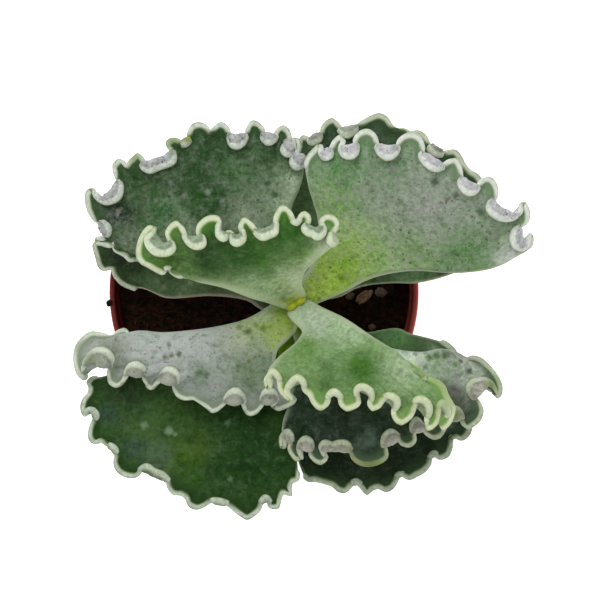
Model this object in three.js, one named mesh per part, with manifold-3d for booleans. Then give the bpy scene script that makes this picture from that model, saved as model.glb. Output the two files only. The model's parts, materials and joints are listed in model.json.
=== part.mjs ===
// A silver crown succulent in a round 2.5 inch nursery pot.
// Millimetres, +Z up, origin at the centre of the pot's flat underside.
// +X is the right of the plan and +Y is its top, so "back" is +Y and "front" is -Y.

import * as THREE from "three";
import { mergeVertices } from "three/addons/utils/BufferGeometryUtils.js";
import Module from "manifold-3d";

const wasm = await Module();
wasm.setup();

// Pot
const POT_HEIGHT = 57;
const RIM_RADIUS = 32;
const RIM_BAND = 9;
const RIM_STEP = 1.2;
const BAND_TAPER = 0.4;
const BASE_RADIUS = 22;
const WALL = 1.1;
const FLOOR = 1.5;
const DRAIN_COUNT = 6;
const DRAIN_RADIUS = 3;
const DRAIN_CIRCLE = 16.5;
const POT_SIDES = 48;

// Soil
const SOIL_TOP = 50;
const SOIL_GAP = 0.3;
const SOIL_RELIEF = 0.7;

// Stem: its foot stands in the soil and it leans a little to the right
const STEM_FOOT = new THREE.Vector3(4.8, -1.7, 44);
const STEM_TIP = new THREE.Vector3(6.7, -2.4, 82.3);
const STEM_OUTLINE = [
  [3, 44],
  [2.9, 60],
  [2.6, 74],
  [2.4, 79],
  [1.8, 81.4],
  [1.1, 82.3],
];
const SEAT_GAP = 0.3;
const TIP_SPLIT = 1.8;

// Leaves
const SEAT_WIDTH = 5.4;
const BASE_THICKNESS = 3;
const BLADE_THICKNESS = 2.6;
const MARGIN_THICKNESS = 1.8;
const EDGE_RADIUS = 0.9;
const WAVE_RISE = 1.1;
const WAVE_DIP = 0.4;

// Outlines are seen in plan from straight above: x to the right, y down, in units of 1/4.84 mm at the rim.
// What is higher than the rim is nearer the eye, so it looks larger about the plan's centre.
const UNITS_PER_MM = 4.84;
const PLAN_CENTRE = [300, 300];
const POT_AXIS = [264, 292];
const EYE_ABOVE_RIM = 480;

const DEGREE = Math.PI / 180;

// The real place of a plan point that lies at height z.
function placeOf([planX, planY], z) {
  const nearness = (EYE_ABOVE_RIM - (z - POT_HEIGHT)) / EYE_ABOVE_RIM;
  const x = PLAN_CENTRE[0] + (planX - PLAN_CENTRE[0]) * nearness - POT_AXIS[0];
  const y = POT_AXIS[1] - PLAN_CENTRE[1] - (planY - PLAN_CENTRE[1]) * nearness;
  return new THREE.Vector3(x / UNITS_PER_MM, y / UNITS_PER_MM, z);
}

function material(color, roughness) {
  return new THREE.MeshStandardMaterial({ color, roughness, metalness: 0 });
}

const potPlastic = material(0x7a2f28, 0.55);
const pottingMix = material(0x17100d, 0.95);
const tanGrit = material(0xa08468, 0.9);
const greyGrit = material(0x6f6a64, 0.9);
const stemSkin = material(0x7f9a52, 0.6);
const youngLeaf = material(0x6f9a58, 0.6);
const silverLeaf = material(0x93a893, 0.65);
const darkLeaf = material(0x35573a, 0.6);
const budLeaf = material(0x9fae2c, 0.55);

const plant = new THREE.Group();

function addPiece(name, geometry, finish) {
  const mesh = new THREE.Mesh(geometry, finish);
  mesh.name = name;
  plant.add(mesh);
  return mesh;
}

// Joins and cuts work on solids with merged corners.
function solidFrom(geometry) {
  const bare = geometry.clone();
  for (const name of Object.keys(bare.attributes)) {
    if (name !== "position") bare.deleteAttribute(name);
  }
  const merged = mergeVertices(bare, 1e-4);
  return new wasm.Manifold(
    new wasm.Mesh({
      numProp: 3,
      vertProperties: merged.attributes.position.array,
      triVerts: new Uint32Array(merged.index.array),
    }),
  );
}

function geometryFrom(solid) {
  const mesh = solid.getMesh();
  const geometry = new THREE.BufferGeometry();
  geometry.setAttribute("position", new THREE.BufferAttribute(mesh.vertProperties, 3));
  geometry.setIndex(new THREE.BufferAttribute(mesh.triVerts, 1));
  geometry.computeVertexNormals();
  return geometry;
}

// A round body about the pot's axis, from a profile of [radius, height] that starts and ends on the axis.
function turned(profile, sides) {
  const points = profile.map(([radius, height]) => new THREE.Vector2(radius, height));
  const geometry = new THREE.LatheGeometry(points, sides);
  geometry.rotateX(Math.PI / 2);
  return geometry;
}

// The radius of the pot's outer wall below the rim band.
function wallRadius(height) {
  const shoulder = POT_HEIGHT - RIM_BAND;
  return BASE_RADIUS + ((RIM_RADIUS - RIM_STEP - BASE_RADIUS) * height) / shoulder;
}

// Pot: a tapered wall under a wider rim band, a flat floor and a ring of drainage holes
{
  const shoulder = POT_HEIGHT - RIM_BAND;
  const chamfer = 0.8;
  const profile = [
    [0, 0],
    [BASE_RADIUS - chamfer, 0],
    [wallRadius(chamfer), chamfer],
    [wallRadius(shoulder), shoulder],
    [RIM_RADIUS - BAND_TAPER, shoulder],
    [RIM_RADIUS, POT_HEIGHT - chamfer / 2],
    [RIM_RADIUS - chamfer / 2, POT_HEIGHT],
    [RIM_RADIUS - WALL, POT_HEIGHT],
    [RIM_RADIUS - WALL - BAND_TAPER, shoulder + 1],
    [wallRadius(shoulder) - WALL, shoulder],
    [wallRadius(FLOOR) - WALL, FLOOR],
    [0, FLOOR],
  ];
  let pot = solidFrom(turned(profile, POT_SIDES));
  for (let i = 0; i < DRAIN_COUNT; i += 1) {
    const angle = (i / DRAIN_COUNT) * 2 * Math.PI;
    const drill = new THREE.CylinderGeometry(DRAIN_RADIUS, DRAIN_RADIUS, 3 * FLOOR, 16);
    drill.rotateX(Math.PI / 2);
    drill.translate(DRAIN_CIRCLE * Math.cos(angle), DRAIN_CIRCLE * Math.sin(angle), 0);
    pot = pot.subtract(solidFrom(drill));
  }
  addPiece("pot", geometryFrom(pot), potPlastic);
}

// A place on the stem's middle line at height z.
function stemAt(z) {
  const share = (z - STEM_FOOT.z) / (STEM_TIP.z - STEM_FOOT.z);
  return STEM_FOOT.clone().lerp(STEM_TIP, share);
}

function stemRadius(z) {
  const above = STEM_OUTLINE.findIndex(([, height]) => height >= z);
  const [lowRadius, low] = STEM_OUTLINE[above - 1];
  const [highRadius, high] = STEM_OUTLINE[above];
  return lowRadius + ((highRadius - lowRadius) * (z - low)) / (high - low);
}

// A round solid that stands on the stem's middle line, from a profile of [radius, height].
function onStem(profile, sides) {
  const points = profile.map(([radius, height]) => new THREE.Vector2(radius, height - STEM_FOOT.z));
  const geometry = new THREE.LatheGeometry(points, sides);
  const lean = new THREE.Quaternion().setFromUnitVectors(
    new THREE.Vector3(0, 1, 0),
    STEM_TIP.clone().sub(STEM_FOOT).normalize(),
  );
  geometry.applyQuaternion(lean);
  geometry.translate(STEM_FOOT.x, STEM_FOOT.y, STEM_FOOT.z);
  return geometry;
}

// Stem
{
  const foot = [0, STEM_OUTLINE[0][1]];
  const tip = [0, STEM_OUTLINE.at(-1)[1]];
  addPiece("stem", onStem([foot, ...STEM_OUTLINE, tip], 16), stemSkin);
}

// The soil's uneven top: low bumps a few millimetres across.
function soilHeight(x, y) {
  return SOIL_TOP + SOIL_RELIEF * Math.sin(x / 3.3 + 0.6) * Math.cos(y / 3.9 - 0.4);
}

// Soil: fills the pot under its rim, with a socket for the stem's foot
{
  const side = (height) => wallRadius(height) - WALL - SOIL_GAP;
  const bottom = FLOOR + SOIL_GAP;
  const shoulder = POT_HEIGHT - RIM_BAND;
  const shoreRadius = RIM_RADIUS - WALL - BAND_TAPER - SOIL_GAP;
  const topRings = [0.93, 0.8, 0.66, 0.52, 0.38, 0.24, 0.12, 0];
  const profile = [
    [0, bottom],
    [side(bottom), bottom],
    [side(shoulder), shoulder],
    [shoreRadius, shoulder + 1],
    ...topRings.map((share) => [shoreRadius * share, SOIL_TOP]),
  ];
  const heap = turned(profile, 32);
  const points = heap.attributes.position;
  for (let i = 0; i < points.count; i += 1) {
    if (points.getZ(i) > SOIL_TOP - 0.1) points.setZ(i, soilHeight(points.getX(i), points.getY(i)));
  }
  const socketFoot = STEM_FOOT.z - SEAT_GAP;
  const socketTop = SOIL_TOP + 4;
  const socketRadius = STEM_OUTLINE[0][0] + SEAT_GAP;
  const socket = onStem(
    [
      [0, socketFoot],
      [socketRadius, socketFoot],
      [socketRadius, socketTop],
      [0, socketTop],
    ],
    16,
  );
  addPiece("soil", geometryFrom(solidFrom(heap).subtract(solidFrom(socket))), pottingMix);
}

// A rough stone or crumb: an ellipsoid with uneven corners, turned about the vertical.
function lump(length, width, height, turn) {
  const geometry = new THREE.IcosahedronGeometry(0.5, 1);
  const points = geometry.attributes.position;
  const corner = new THREE.Vector3();
  for (let i = 0; i < points.count; i += 1) {
    corner.fromBufferAttribute(points, i);
    const unevenness = 1 + 0.12 * Math.sin(9 * corner.x + 5 * corner.y) * Math.cos(7 * corner.z);
    points.setXYZ(i, corner.x * unevenness, corner.y * unevenness, corner.z);
  }
  geometry.scale(length, width, height);
  geometry.rotateZ(turn * DEGREE);
  return geometry;
}

// Grit: plan place of the middle, length, width and height, and turn from the plan's x axis
const GRIT = [
  { at: [364, 296.5], size: [3.9, 2.2, 1.8], turn: 36 },
  { at: [380.5, 292], size: [2.5, 2.1, 1.6], turn: -10 },
  { at: [350, 296], size: [2, 1.5, 1.3], turn: 30 },
  { at: [372, 327], size: [1.7, 1.3, 1.1], turn: 0 },
];
GRIT.forEach(({ at, size, turn }, index) => {
  const stone = lump(...size, turn);
  const middle = placeOf(at, SOIL_TOP);
  const ground = soilHeight(middle.x, middle.y);
  const mesh = addPiece(`grit_${index + 1}`, stone, index === 1 ? greyGrit : tanGrit);
  mesh.position.set(middle.x, middle.y, ground + SEAT_GAP + size[2] / 2);
});

// Crumb of soil that lies across the rim's outer edge
{
  const size = [1.5, 1.2, 0.9];
  const mesh = addPiece("soil_crumb", lump(...size, 70), pottingMix);
  mesh.position.copy(placeOf([109, 303], POT_HEIGHT + SEAT_GAP + size[2] / 2));
}

// A closed shell between two grids of points, the upper and the lower face of a sheet.
// Rows run along the sheet and columns across it.
function sheetGeometry(upper, lower) {
  const rows = upper.length;
  const columns = upper[0].length;
  const positions = [];
  const corners = [];
  for (const grid of [upper, lower]) {
    for (const row of grid) {
      for (const point of row) positions.push(point.x, point.y, point.z);
    }
  }
  const at = (face, row, column) => (face * rows + row) * columns + column;
  const quad = (a, b, c, d) => corners.push(a, b, c, a, c, d);
  for (let r = 0; r < rows - 1; r += 1) {
    for (let c = 0; c < columns - 1; c += 1) {
      quad(at(0, r, c), at(0, r, c + 1), at(0, r + 1, c + 1), at(0, r + 1, c));
      quad(at(1, r, c), at(1, r + 1, c), at(1, r + 1, c + 1), at(1, r, c + 1));
    }
  }
  for (let c = 0; c < columns - 1; c += 1) {
    quad(at(1, 0, c), at(1, 0, c + 1), at(0, 0, c + 1), at(0, 0, c));
    quad(at(0, rows - 1, c), at(0, rows - 1, c + 1), at(1, rows - 1, c + 1), at(1, rows - 1, c));
  }
  for (let r = 0; r < rows - 1; r += 1) {
    quad(at(0, r, 0), at(0, r + 1, 0), at(1, r + 1, 0), at(1, r, 0));
    quad(at(1, r, columns - 1), at(1, r + 1, columns - 1), at(0, r + 1, columns - 1), at(0, r, columns - 1));
  }
  const geometry = new THREE.BufferGeometry();
  geometry.setAttribute("position", new THREE.Float32BufferAttribute(positions, 3));
  geometry.setIndex(corners);
  geometry.computeVertexNormals();
  return geometry;
}


// The plan point and height of a real place: the reverse of placeOf.
function planOf(place) {
  const nearness = (EYE_ABOVE_RIM - (place.z - POT_HEIGHT)) / EYE_ABOVE_RIM;
  const x = POT_AXIS[0] + place.x * UNITS_PER_MM - PLAN_CENTRE[0];
  const y = POT_AXIS[1] - place.y * UNITS_PER_MM - PLAN_CENTRE[1];
  return new THREE.Vector3(PLAN_CENTRE[0] + x / nearness, PLAN_CENTRE[1] + y / nearness, place.z);
}

// How far along each point of a line lies, as a share of the line's length.
function sharesAlong(points) {
  const lengths = [0];
  for (let i = 1; i < points.length; i += 1) {
    lengths.push(lengths[i - 1] + Math.hypot(points[i].x - points[i - 1].x, points[i].y - points[i - 1].y));
  }
  return lengths.map((length) => length / lengths.at(-1));
}

// A leaf's smooth side, from its seat on the stem to the start of its wavy margin.
function sideLine(corner, outline, end, arch, rows) {
  const points = [corner, ...outline.map(([x, y]) => new THREE.Vector3(x, y, 0)), end];
  sharesAlong(points).forEach((share, i) => {
    points[i].z = corner.z + (end.z - corner.z) * share + arch * Math.sin(Math.PI * share);
  });
  const line = new THREE.CatmullRomCurve3(points, false, "centripetal");
  return rows.map((share) => line.getPointAt(share));
}

// A leaf: a sheet stretched between its seat on the stem, its two smooth sides and its wavy margin.
// Left and right are as seen from the stem. Its shape is worked out in plan, with heights as z.
function leafGeometry({ toward, seat, left, margin, right, heights, arch, cup }) {
  const rows = [0, 0.2, 0.42, 0.64, 0.86];
  const ahead = new THREE.Vector3(Math.cos(toward * DEGREE), Math.sin(toward * DEGREE), 0);
  const leftward = new THREE.Vector3(-ahead.y, ahead.x, 0);
  const seatRadius = seat > STEM_TIP.z ? TIP_SPLIT / 2 : stemRadius(seat - BASE_THICKNESS / 2) + SEAT_GAP;
  const seatMiddle = stemAt(seat).addScaledVector(ahead, seatRadius);
  const leftCorner = planOf(seatMiddle.clone().addScaledVector(leftward, SEAT_WIDTH / 2));
  const rightCorner = planOf(seatMiddle.clone().addScaledVector(leftward, -SEAT_WIDTH / 2));

  // The margin's middle line runs half way between its outward and inward turns.
  const edge = margin.map(([x, y]) => new THREE.Vector3(x, y, 0));
  const middle = edge.map((point, i) => {
    if (i === 0 || i === edge.length - 1) return point.clone();
    const mean = edge[i - 1].clone().add(edge[i + 1]).divideScalar(4);
    return mean.addScaledVector(point, 0.5);
  });
  const across = sharesAlong(middle);
  const [leftHeight, tipHeight, rightHeight] = heights;
  across.forEach((u, i) => {
    const ends = leftHeight + (rightHeight - leftHeight) * u;
    const crown = (tipHeight - (leftHeight + rightHeight) / 2) * 4 * u * (1 - u);
    middle[i].z = ends + crown;
  });

  const leftSide = sideLine(leftCorner, left, middle[0], arch, rows);
  const rightSide = sideLine(rightCorner, right, middle.at(-1), arch, rows);
  const sheet = rows.map((v, r) =>
    across.map((u, c) => {
      const seatPoint = leftCorner.clone().lerp(rightCorner, u);
      const lengthwise = seatPoint.multiplyScalar(1 - v).addScaledVector(middle[c], v);
      const crosswise = leftSide[r].clone().lerp(rightSide[r], u);
      const cornersNear = leftCorner.clone().lerp(rightCorner, u).multiplyScalar(1 - v);
      const cornersFar = middle[0].clone().lerp(middle.at(-1), u).multiplyScalar(v);
      const point = lengthwise.add(crosswise).sub(cornersNear).sub(cornersFar);
      point.z -= cup * 4 * u * (1 - u) * Math.sin(Math.PI * v);
      return placeOf([point.x, point.y], point.z);
    }),
  );

  // Where the margin turns inward it stands up, and where it turns outward it dips.
  // The outlines follow the middle of its rounded edge, so the solid reaches one radius further.
  const seatPlan = planOf(seatMiddle).setZ(0);
  const wavy = edge.map((point, c) => {
    const reach = middle[c].clone().setZ(0).distanceTo(seatPlan);
    const outward = (point.distanceTo(seatPlan) - reach) / UNITS_PER_MM;
    const lift = outward < 0 ? -WAVE_RISE * outward : -WAVE_DIP * outward;
    const away = point.clone().sub(seatPlan).normalize();
    const outer = point.clone().addScaledVector(away, EDGE_RADIUS * UNITS_PER_MM);
    return placeOf([outer.x, outer.y], middle[c].z + lift);
  });
  sheet.push(wavy);
  return thickened(sheet);
}

// Gives a sheet of points its thickness. Its first row is the upright face at the stem.
function thickened(sheet) {
  const last = sheet.length - 1;
  const upper = [];
  const lower = [];
  sheet.forEach((row, r) => {
    const thickness = r === 0 ? BASE_THICKNESS : r === last ? MARGIN_THICKNESS : BLADE_THICKNESS;
    const ups = row.map((point, c) => {
      if (r === 0) return new THREE.Vector3(0, 0, 1);
      const acrossStep = row[Math.min(c + 1, row.length - 1)].clone().sub(row[Math.max(c - 1, 0)]);
      const outStep = sheet[Math.min(r + 1, last)][c].clone().sub(sheet[Math.max(r - 1, 0)][c]);
      return acrossStep.cross(outStep).normalize();
    });
    upper.push(row.map((point, c) => point.clone().addScaledVector(ups[c], thickness / 2)));
    lower.push(row.map((point, c) => point.clone().addScaledVector(ups[c], -thickness / 2)));
  });
  return sheetGeometry(upper, lower);
}

// The ten leaves, in opposite pairs from the top down, and the direction in which each one grows.
const LEAVES = [
  {
    name: "leaf_1_back_left",
    finish: youngLeaf,
    toward: 125,
    seat: 84.1,
    left: [[268, 303], [250, 298], [222, 287], [195, 280]],
    margin: [
      [180, 274], [158, 268], [137, 260], [136, 248], [146, 228], [163, 254], [178, 224],
      [196, 248], [213, 218], [224, 239], [230, 231], [237, 244], [247, 221], [265, 239],
      [284, 208], [296, 223], [304, 214], [316, 238], [329, 217], [333, 243],
    ],
    right: [[301, 283], [303, 273], [320, 256]],
    heights: [98, 106, 103],
    arch: 2,
    cup: 1.5,
  },
  {
    name: "leaf_1_front_right",
    finish: youngLeaf,
    toward: -58,
    seat: 84.1,
    left: [[322, 307], [345, 318], [384, 345], [415, 367]],
    margin: [
      [433, 381], [446, 394], [452, 406], [444, 424], [443, 403], [431, 427], [423, 399],
      [404, 422], [391, 395], [376, 408], [364, 387], [352, 408], [337, 391], [323, 408],
      [301, 378], [291, 398], [277, 371], [268, 386],
    ],
    right: [[299, 334], [290, 348], [279, 358]],
    heights: [97, 104, 98],
    arch: 2,
    cup: 1.5,
  },
  {
    name: "leaf_2_back_right",
    finish: silverLeaf,
    toward: 44,
    seat: 77.5,
    left: [[311, 265], [318, 223], [314, 205], [305, 175]],
    margin: [
      [307, 161], [326, 143], [327, 159], [338, 137], [350, 157], [369, 131], [388, 158],
      [408, 134], [437, 170], [454, 160], [472, 194], [488, 178], [506, 219], [523, 203],
      [516, 238], [531, 240], [522, 253],
    ],
    right: [[345, 292], [370, 279], [410, 271], [460, 273], [497, 267]],
    heights: [92, 98, 90],
    arch: 3,
    cup: 2,
  },
  {
    name: "leaf_2_left",
    finish: silverLeaf,
    toward: 212,
    seat: 77.5,
    left: [[289, 335], [277, 353], [280, 378]],
    margin: [
      [296, 399], [281, 408], [270, 390], [253, 415], [236, 390], [213, 411], [198, 396],
      [187, 402], [171, 369], [153, 388], [137, 365], [117, 386], [104, 350], [86, 378],
      [75, 360], [82, 338], [98, 333],
    ],
    right: [[266, 308], [245, 320], [200, 329], [150, 334], [118, 334]],
    heights: [84, 82, 78],
    arch: 7,
    cup: -1,
  },
  {
    name: "leaf_3_back_left",
    finish: darkLeaf,
    toward: 123,
    seat: 71.5,
    left: [[262, 290], [225, 282], [180, 270], [150, 261]],
    margin: [
      [125, 253], [108, 246], [88, 230], [101, 220], [86, 200], [119, 196], [112, 168],
      [121, 160], [128, 167], [138, 154], [162, 168], [172, 139], [184, 145], [196, 124],
      [210, 135], [222, 124], [236, 147], [252, 121], [268, 144], [280, 127], [287, 155],
      [296, 141], [300, 164],
    ],
    right: [[291, 262], [290, 235], [292, 208], [303, 180]],
    heights: [84, 89, 87],
    arch: 3,
    cup: 2,
  },
  {
    name: "leaf_3_front_right",
    finish: darkLeaf,
    toward: -62,
    seat: 71.5,
    left: [[345, 328], [384, 346], [422, 352], [450, 352]],
    margin: [
      [466, 360], [490, 367], [500, 392], [468, 385], [481, 412], [457, 410], [450, 426],
      [430, 438], [418, 434], [404, 446], [390, 431], [368, 465], [336, 441], [320, 461],
      [306, 437], [298, 457], [285, 431],
    ],
    right: [[296, 350], [287, 385], [283, 415]],
    heights: [81, 84, 80],
    arch: 3,
    cup: 1.5,
  },
  {
    name: "leaf_4_back_right",
    finish: darkLeaf,
    toward: 50,
    seat: 65.5,
    left: [[291, 265], [286, 235], [289, 195], [297, 160]],
    margin: [
      [300, 138], [312, 143], [331, 119], [344, 131], [362, 122], [379, 114], [397, 130],
      [418, 131], [441, 155], [453, 152], [472, 178], [484, 190], [492, 212], [494, 235],
      [480, 262],
    ],
    right: [[340, 297], [370, 285], [418, 283], [452, 274]],
    heights: [78, 82, 76],
    arch: 2,
    cup: 1.5,
  },
  {
    name: "leaf_4_front_left",
    finish: darkLeaf,
    toward: 237,
    seat: 65.5,
    left: [[299, 345], [294, 395], [296, 440]],
    margin: [
      [299, 474], [291, 482], [288, 495], [281, 492], [273, 507], [265, 497], [248, 517],
      [217, 499], [195, 507], [184, 494], [170, 488], [147, 464], [130, 475], [103, 442],
      [90, 432], [96, 413], [84, 410], [90, 384], [106, 376],
    ],
    right: [[265, 322], [230, 340], [180, 352], [140, 364]],
    heights: [75, 76, 72],
    arch: 3,
    cup: 1.5,
  },
  {
    name: "leaf_5_left",
    finish: darkLeaf,
    toward: 150,
    seat: 60,
    left: [[262, 310], [248, 301], [213, 296], [166, 298]],
    margin: [
      [137, 290], [116, 278], [105, 270], [98, 260], [94, 243], [100, 225], [115, 208],
      [135, 195], [160, 190],
    ],
    right: [[280, 280], [248, 250], [205, 216]],
    heights: [66, 68, 70],
    arch: 1,
    cup: 1.5,
  },
  {
    name: "leaf_5_front_right",
    finish: darkLeaf,
    toward: -40,
    seat: 60,
    left: [[335, 320], [366, 332], [398, 328], [422, 335], [441, 341]],
    margin: [
      [455, 354], [470, 390], [470, 428], [456, 437], [450, 451], [435, 454], [414, 476],
      [401, 474], [389, 489], [367, 492], [355, 481], [342, 491], [328, 481], [312, 480],
      [298, 462],
    ],
    right: [[297, 345], [291, 385], [290, 425]],
    heights: [66, 68, 67],
    arch: 1,
    cup: 1.5,
  },
];
for (const leaf of LEAVES) addPiece(leaf.name, leafGeometry(leaf), leaf.finish);

// Bud: two tiny upright leaves that face each other over the stem's tip
{
  const size = [1, 1.2, 4.2];
  const seat = STEM_TIP.z + SEAT_GAP + size[2] / 2;
  const spread = 0.8;
  const facing = 33;
  const lean = 8;
  ["a", "b"].forEach((letter, index) => {
    const side = index === 0 ? 1 : -1;
    const bud = new THREE.SphereGeometry(0.5, 10, 8);
    bud.rotateX(Math.PI / 2);
    bud.scale(...size);
    const mesh = addPiece(`bud_leaf_${letter}`, bud, budLeaf);
    mesh.rotation.set(0, side * lean * DEGREE, facing * DEGREE, "ZYX");
    const outward = new THREE.Vector3(Math.cos(facing * DEGREE), Math.sin(facing * DEGREE), 0);
    mesh.position.copy(STEM_TIP).setZ(seat).addScaledVector(outward, side * spread);
  });
}

export default plant;
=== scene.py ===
# %% [markdown]
# # A potted silver crown
#
# A young succulent with five pairs of fleshy leaves stands in a small round nursery pot. It is seen from
# straight above, where its margins show best: each one is folded to and fro like a pie's crust, and it ends
# in a round white bead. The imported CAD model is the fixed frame. It gives every piece its size and its
# place, and each piece made here stands for one of its nodes.

# %% Load the frame
import json
import math
import random
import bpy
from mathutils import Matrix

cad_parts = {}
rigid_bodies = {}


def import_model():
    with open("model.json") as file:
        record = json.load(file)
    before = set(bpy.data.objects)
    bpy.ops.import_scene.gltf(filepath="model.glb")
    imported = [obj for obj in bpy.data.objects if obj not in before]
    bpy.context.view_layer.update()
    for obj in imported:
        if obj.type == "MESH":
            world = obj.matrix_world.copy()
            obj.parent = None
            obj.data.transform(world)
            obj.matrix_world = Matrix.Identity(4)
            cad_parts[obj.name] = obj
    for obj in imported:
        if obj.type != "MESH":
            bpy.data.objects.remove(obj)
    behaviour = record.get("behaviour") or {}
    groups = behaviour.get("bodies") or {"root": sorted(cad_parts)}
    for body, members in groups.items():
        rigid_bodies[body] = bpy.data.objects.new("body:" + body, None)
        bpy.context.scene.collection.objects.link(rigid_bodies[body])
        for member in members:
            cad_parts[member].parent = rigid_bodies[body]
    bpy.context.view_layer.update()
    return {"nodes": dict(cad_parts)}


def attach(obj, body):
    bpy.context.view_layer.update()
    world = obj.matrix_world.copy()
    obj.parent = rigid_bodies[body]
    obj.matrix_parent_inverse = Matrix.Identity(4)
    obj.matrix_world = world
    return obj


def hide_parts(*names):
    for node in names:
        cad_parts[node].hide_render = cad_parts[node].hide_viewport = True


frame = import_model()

from types import SimpleNamespace

import bpy
import numpy as np
from mathutils import Matrix, Vector, noise

MM = 0.001
print("CAD nodes:", len(frame["nodes"]))

# %% [markdown]
# ## The camera
#
# The plant was seen from straight above, 480 mm over the pot's rim and a little to the right of the pot's
# middle. A Blender camera that isn't turned already looks straight down with +Y up, so it only needs a
# place and a lens. The lens is long, so that 124 mm at the rim fill the picture.

# %% Camera
POT_HEIGHT = 57
EYE_HEIGHT = 480
EYE_PLACE = (7.438, -1.653)
VIEW_WIDTH = 123.97
SENSOR_WIDTH = 36

camera_data = bpy.data.cameras.new("plan_camera")
camera_data.sensor_width = SENSOR_WIDTH
camera_data.lens = SENSOR_WIDTH * EYE_HEIGHT / VIEW_WIDTH
camera_data.clip_start = 0.01
camera_data.clip_end = 10
camera = bpy.data.objects.new("plan_camera", camera_data)
camera.location = (EYE_PLACE[0] * MM, EYE_PLACE[1] * MM, (POT_HEIGHT + EYE_HEIGHT) * MM)
bpy.context.scene.collection.objects.link(camera)
bpy.context.scene.camera = camera
bpy.context.scene.view_settings.view_transform = "Standard"
print("lens in mm:", round(camera_data.lens, 1))

# %% [markdown]
# ## Helpers
#
# An operator acts on all that is selected, and a new primitive comes in selected. So everything is
# deselected before a piece is begun, and a piece is picked again before an operator has to work on it
# alone.
#
# A material is a tree of nodes. By hand every link is a drag with the mouse. In code, a small class with
# one short method for each kind of node keeps a tree as short to write as it is to read.

# %% Selecting and colours
def deselect():
    for o in bpy.context.view_layer.objects:
        o.select_set(False)


def pick(o):
    """Makes o the only selected object and the active one."""
    deselect()
    o.select_set(True)
    bpy.context.view_layer.objects.active = o


def ink(code):
    """A colour written as six hex digits, as the linear colour that Blender's nodes use."""
    parts = [int(code[i : i + 2], 16) / 255 for i in (0, 2, 4)]
    linear = [c / 12.92 if c <= 0.04045 else ((c + 0.055) / 1.055) ** 2.4 for c in parts]
    return (*linear, 1)

# %% Wiring a material
class Finish:
    """One material's node tree, with a short way to add a node and wire its inputs."""

    def __init__(self, name):
        self.material = bpy.data.materials.new(name)
        self.material.use_nodes = True
        self.tree = self.material.node_tree
        self.shader = self.tree.nodes["Principled BSDF"]
        self.place = self.tree.nodes.new("ShaderNodeTexCoord").outputs["Object"]

    def feed(self, socket, value):
        if isinstance(value, bpy.types.NodeSocket):
            self.tree.links.new(value, socket)
        else:
            socket.default_value = value

    def add(self, kind, inputs, out=0, **settings):
        made = self.tree.nodes.new(kind)
        for key, value in settings.items():
            setattr(made, key, value)
        for key, value in inputs.items():
            self.feed(made.inputs[key], value)
        return made.outputs[out]

    def told(self, name):
        """A number that the mesh keeps at each point."""
        return self.add("ShaderNodeAttribute", {}, out=2, attribute_name=name)

    def axes(self):
        """The x, y and z of the point's own place."""
        return self.add("ShaderNodeSeparateXYZ", {0: self.place}).node.outputs

    def grain(self, scale, detail=4, rough=0.55, bend=0, place=None, out=0):
        """Noise from 0 to 1, with scale in features per metre. Its out 1 is a colour of three such noises."""
        source = self.place if place is None else place
        inputs = {"Vector": source, "Scale": scale, "Detail": detail, "Roughness": rough, "Distortion": bend}
        return self.add("ShaderNodeTexNoise", inputs, out=out)

    def vector(self, operation, a, b):
        return self.add("ShaderNodeVectorMath", {0: a, 1: b}, operation=operation)

    def shaken(self, scale, rough, reach):
        """The point's place, pushed about by noise, so that what is laid there has a ragged outline."""
        push = self.vector("SUBTRACT", self.grain(scale, rough=rough, out=1), (0.5, 0.5, 0.5))
        push = self.add("ShaderNodeVectorMath", {0: push, "Scale": reach}, operation="SCALE")
        return self.vector("ADD", self.place, push)

    def maths(self, operation, a, b=0.0, c=0.0):
        return self.add("ShaderNodeMath", {0: a, 1: b, 2: c}, operation=operation)

    def band(self, value, low, high, start=0, end=1):
        """Goes smoothly from start to end as value goes from low to high."""
        inputs = {0: value, 1: low, 2: high, 3: start, 4: end}
        return self.add("ShaderNodeMapRange", inputs, interpolation_type="SMOOTHSTEP")

    def mix(self, share, a, b, way="MIX"):
        """Colour a with a share of colour b over it."""
        return self.add("ShaderNodeMix", {0: share, 6: a, 7: b}, out=2, data_type="RGBA", blend_type=way)

    def bump(self, height, strength, depth):
        return self.add("ShaderNodeBump", {"Height": height, "Strength": strength, "Distance": depth})

    def shade(self, **inputs):
        for key, value in inputs.items():
            self.feed(self.shader.inputs[key.replace("_", " ")], value)

# %% [markdown]
# ## Light and floor
#
# The light is that of a white light tent. The world gives an even white light from all round, and one wide
# lamp overhead gives the folds their soft shadows. A weaker lamp at the side fills them a little. The floor
# is plain, pale paper that glows slightly, so that it stays as white as a lit tent's.

# %% Light tent
SKY_STRENGTH = 0.5
LIT_PLACE = (0.007, -0.002, 0.07)
LAMPS = [
    ("overhead_lamp", (-0.12, 0.22, 0.62), 0.30, 1.9),
    ("fill_lamp", (0.35, -0.30, 0.45), 0.35, 0.45),
]

world = bpy.data.worlds.new("tent")
bpy.context.scene.world = world
world.use_nodes = True
sky = world.node_tree.nodes["Background"]
sky.inputs["Color"].default_value = (1, 1, 1, 1)
sky.inputs["Strength"].default_value = SKY_STRENGTH

for name, place, width, watts in LAMPS:
    lamp_data = bpy.data.lights.new(name, "AREA")
    lamp_data.size = width
    lamp_data.energy = watts
    lamp = bpy.data.objects.new(name, lamp_data)
    lamp.location = place
    aim = Vector(LIT_PLACE) - Vector(place)
    lamp.rotation_euler = aim.to_track_quat("-Z", "Y").to_euler()
    bpy.context.scene.collection.objects.link(lamp)
    print(name, watts, "W")

# %% Floor
FLOOR_WIDTH = 6
FLOOR_GLOW = 0.8

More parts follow.
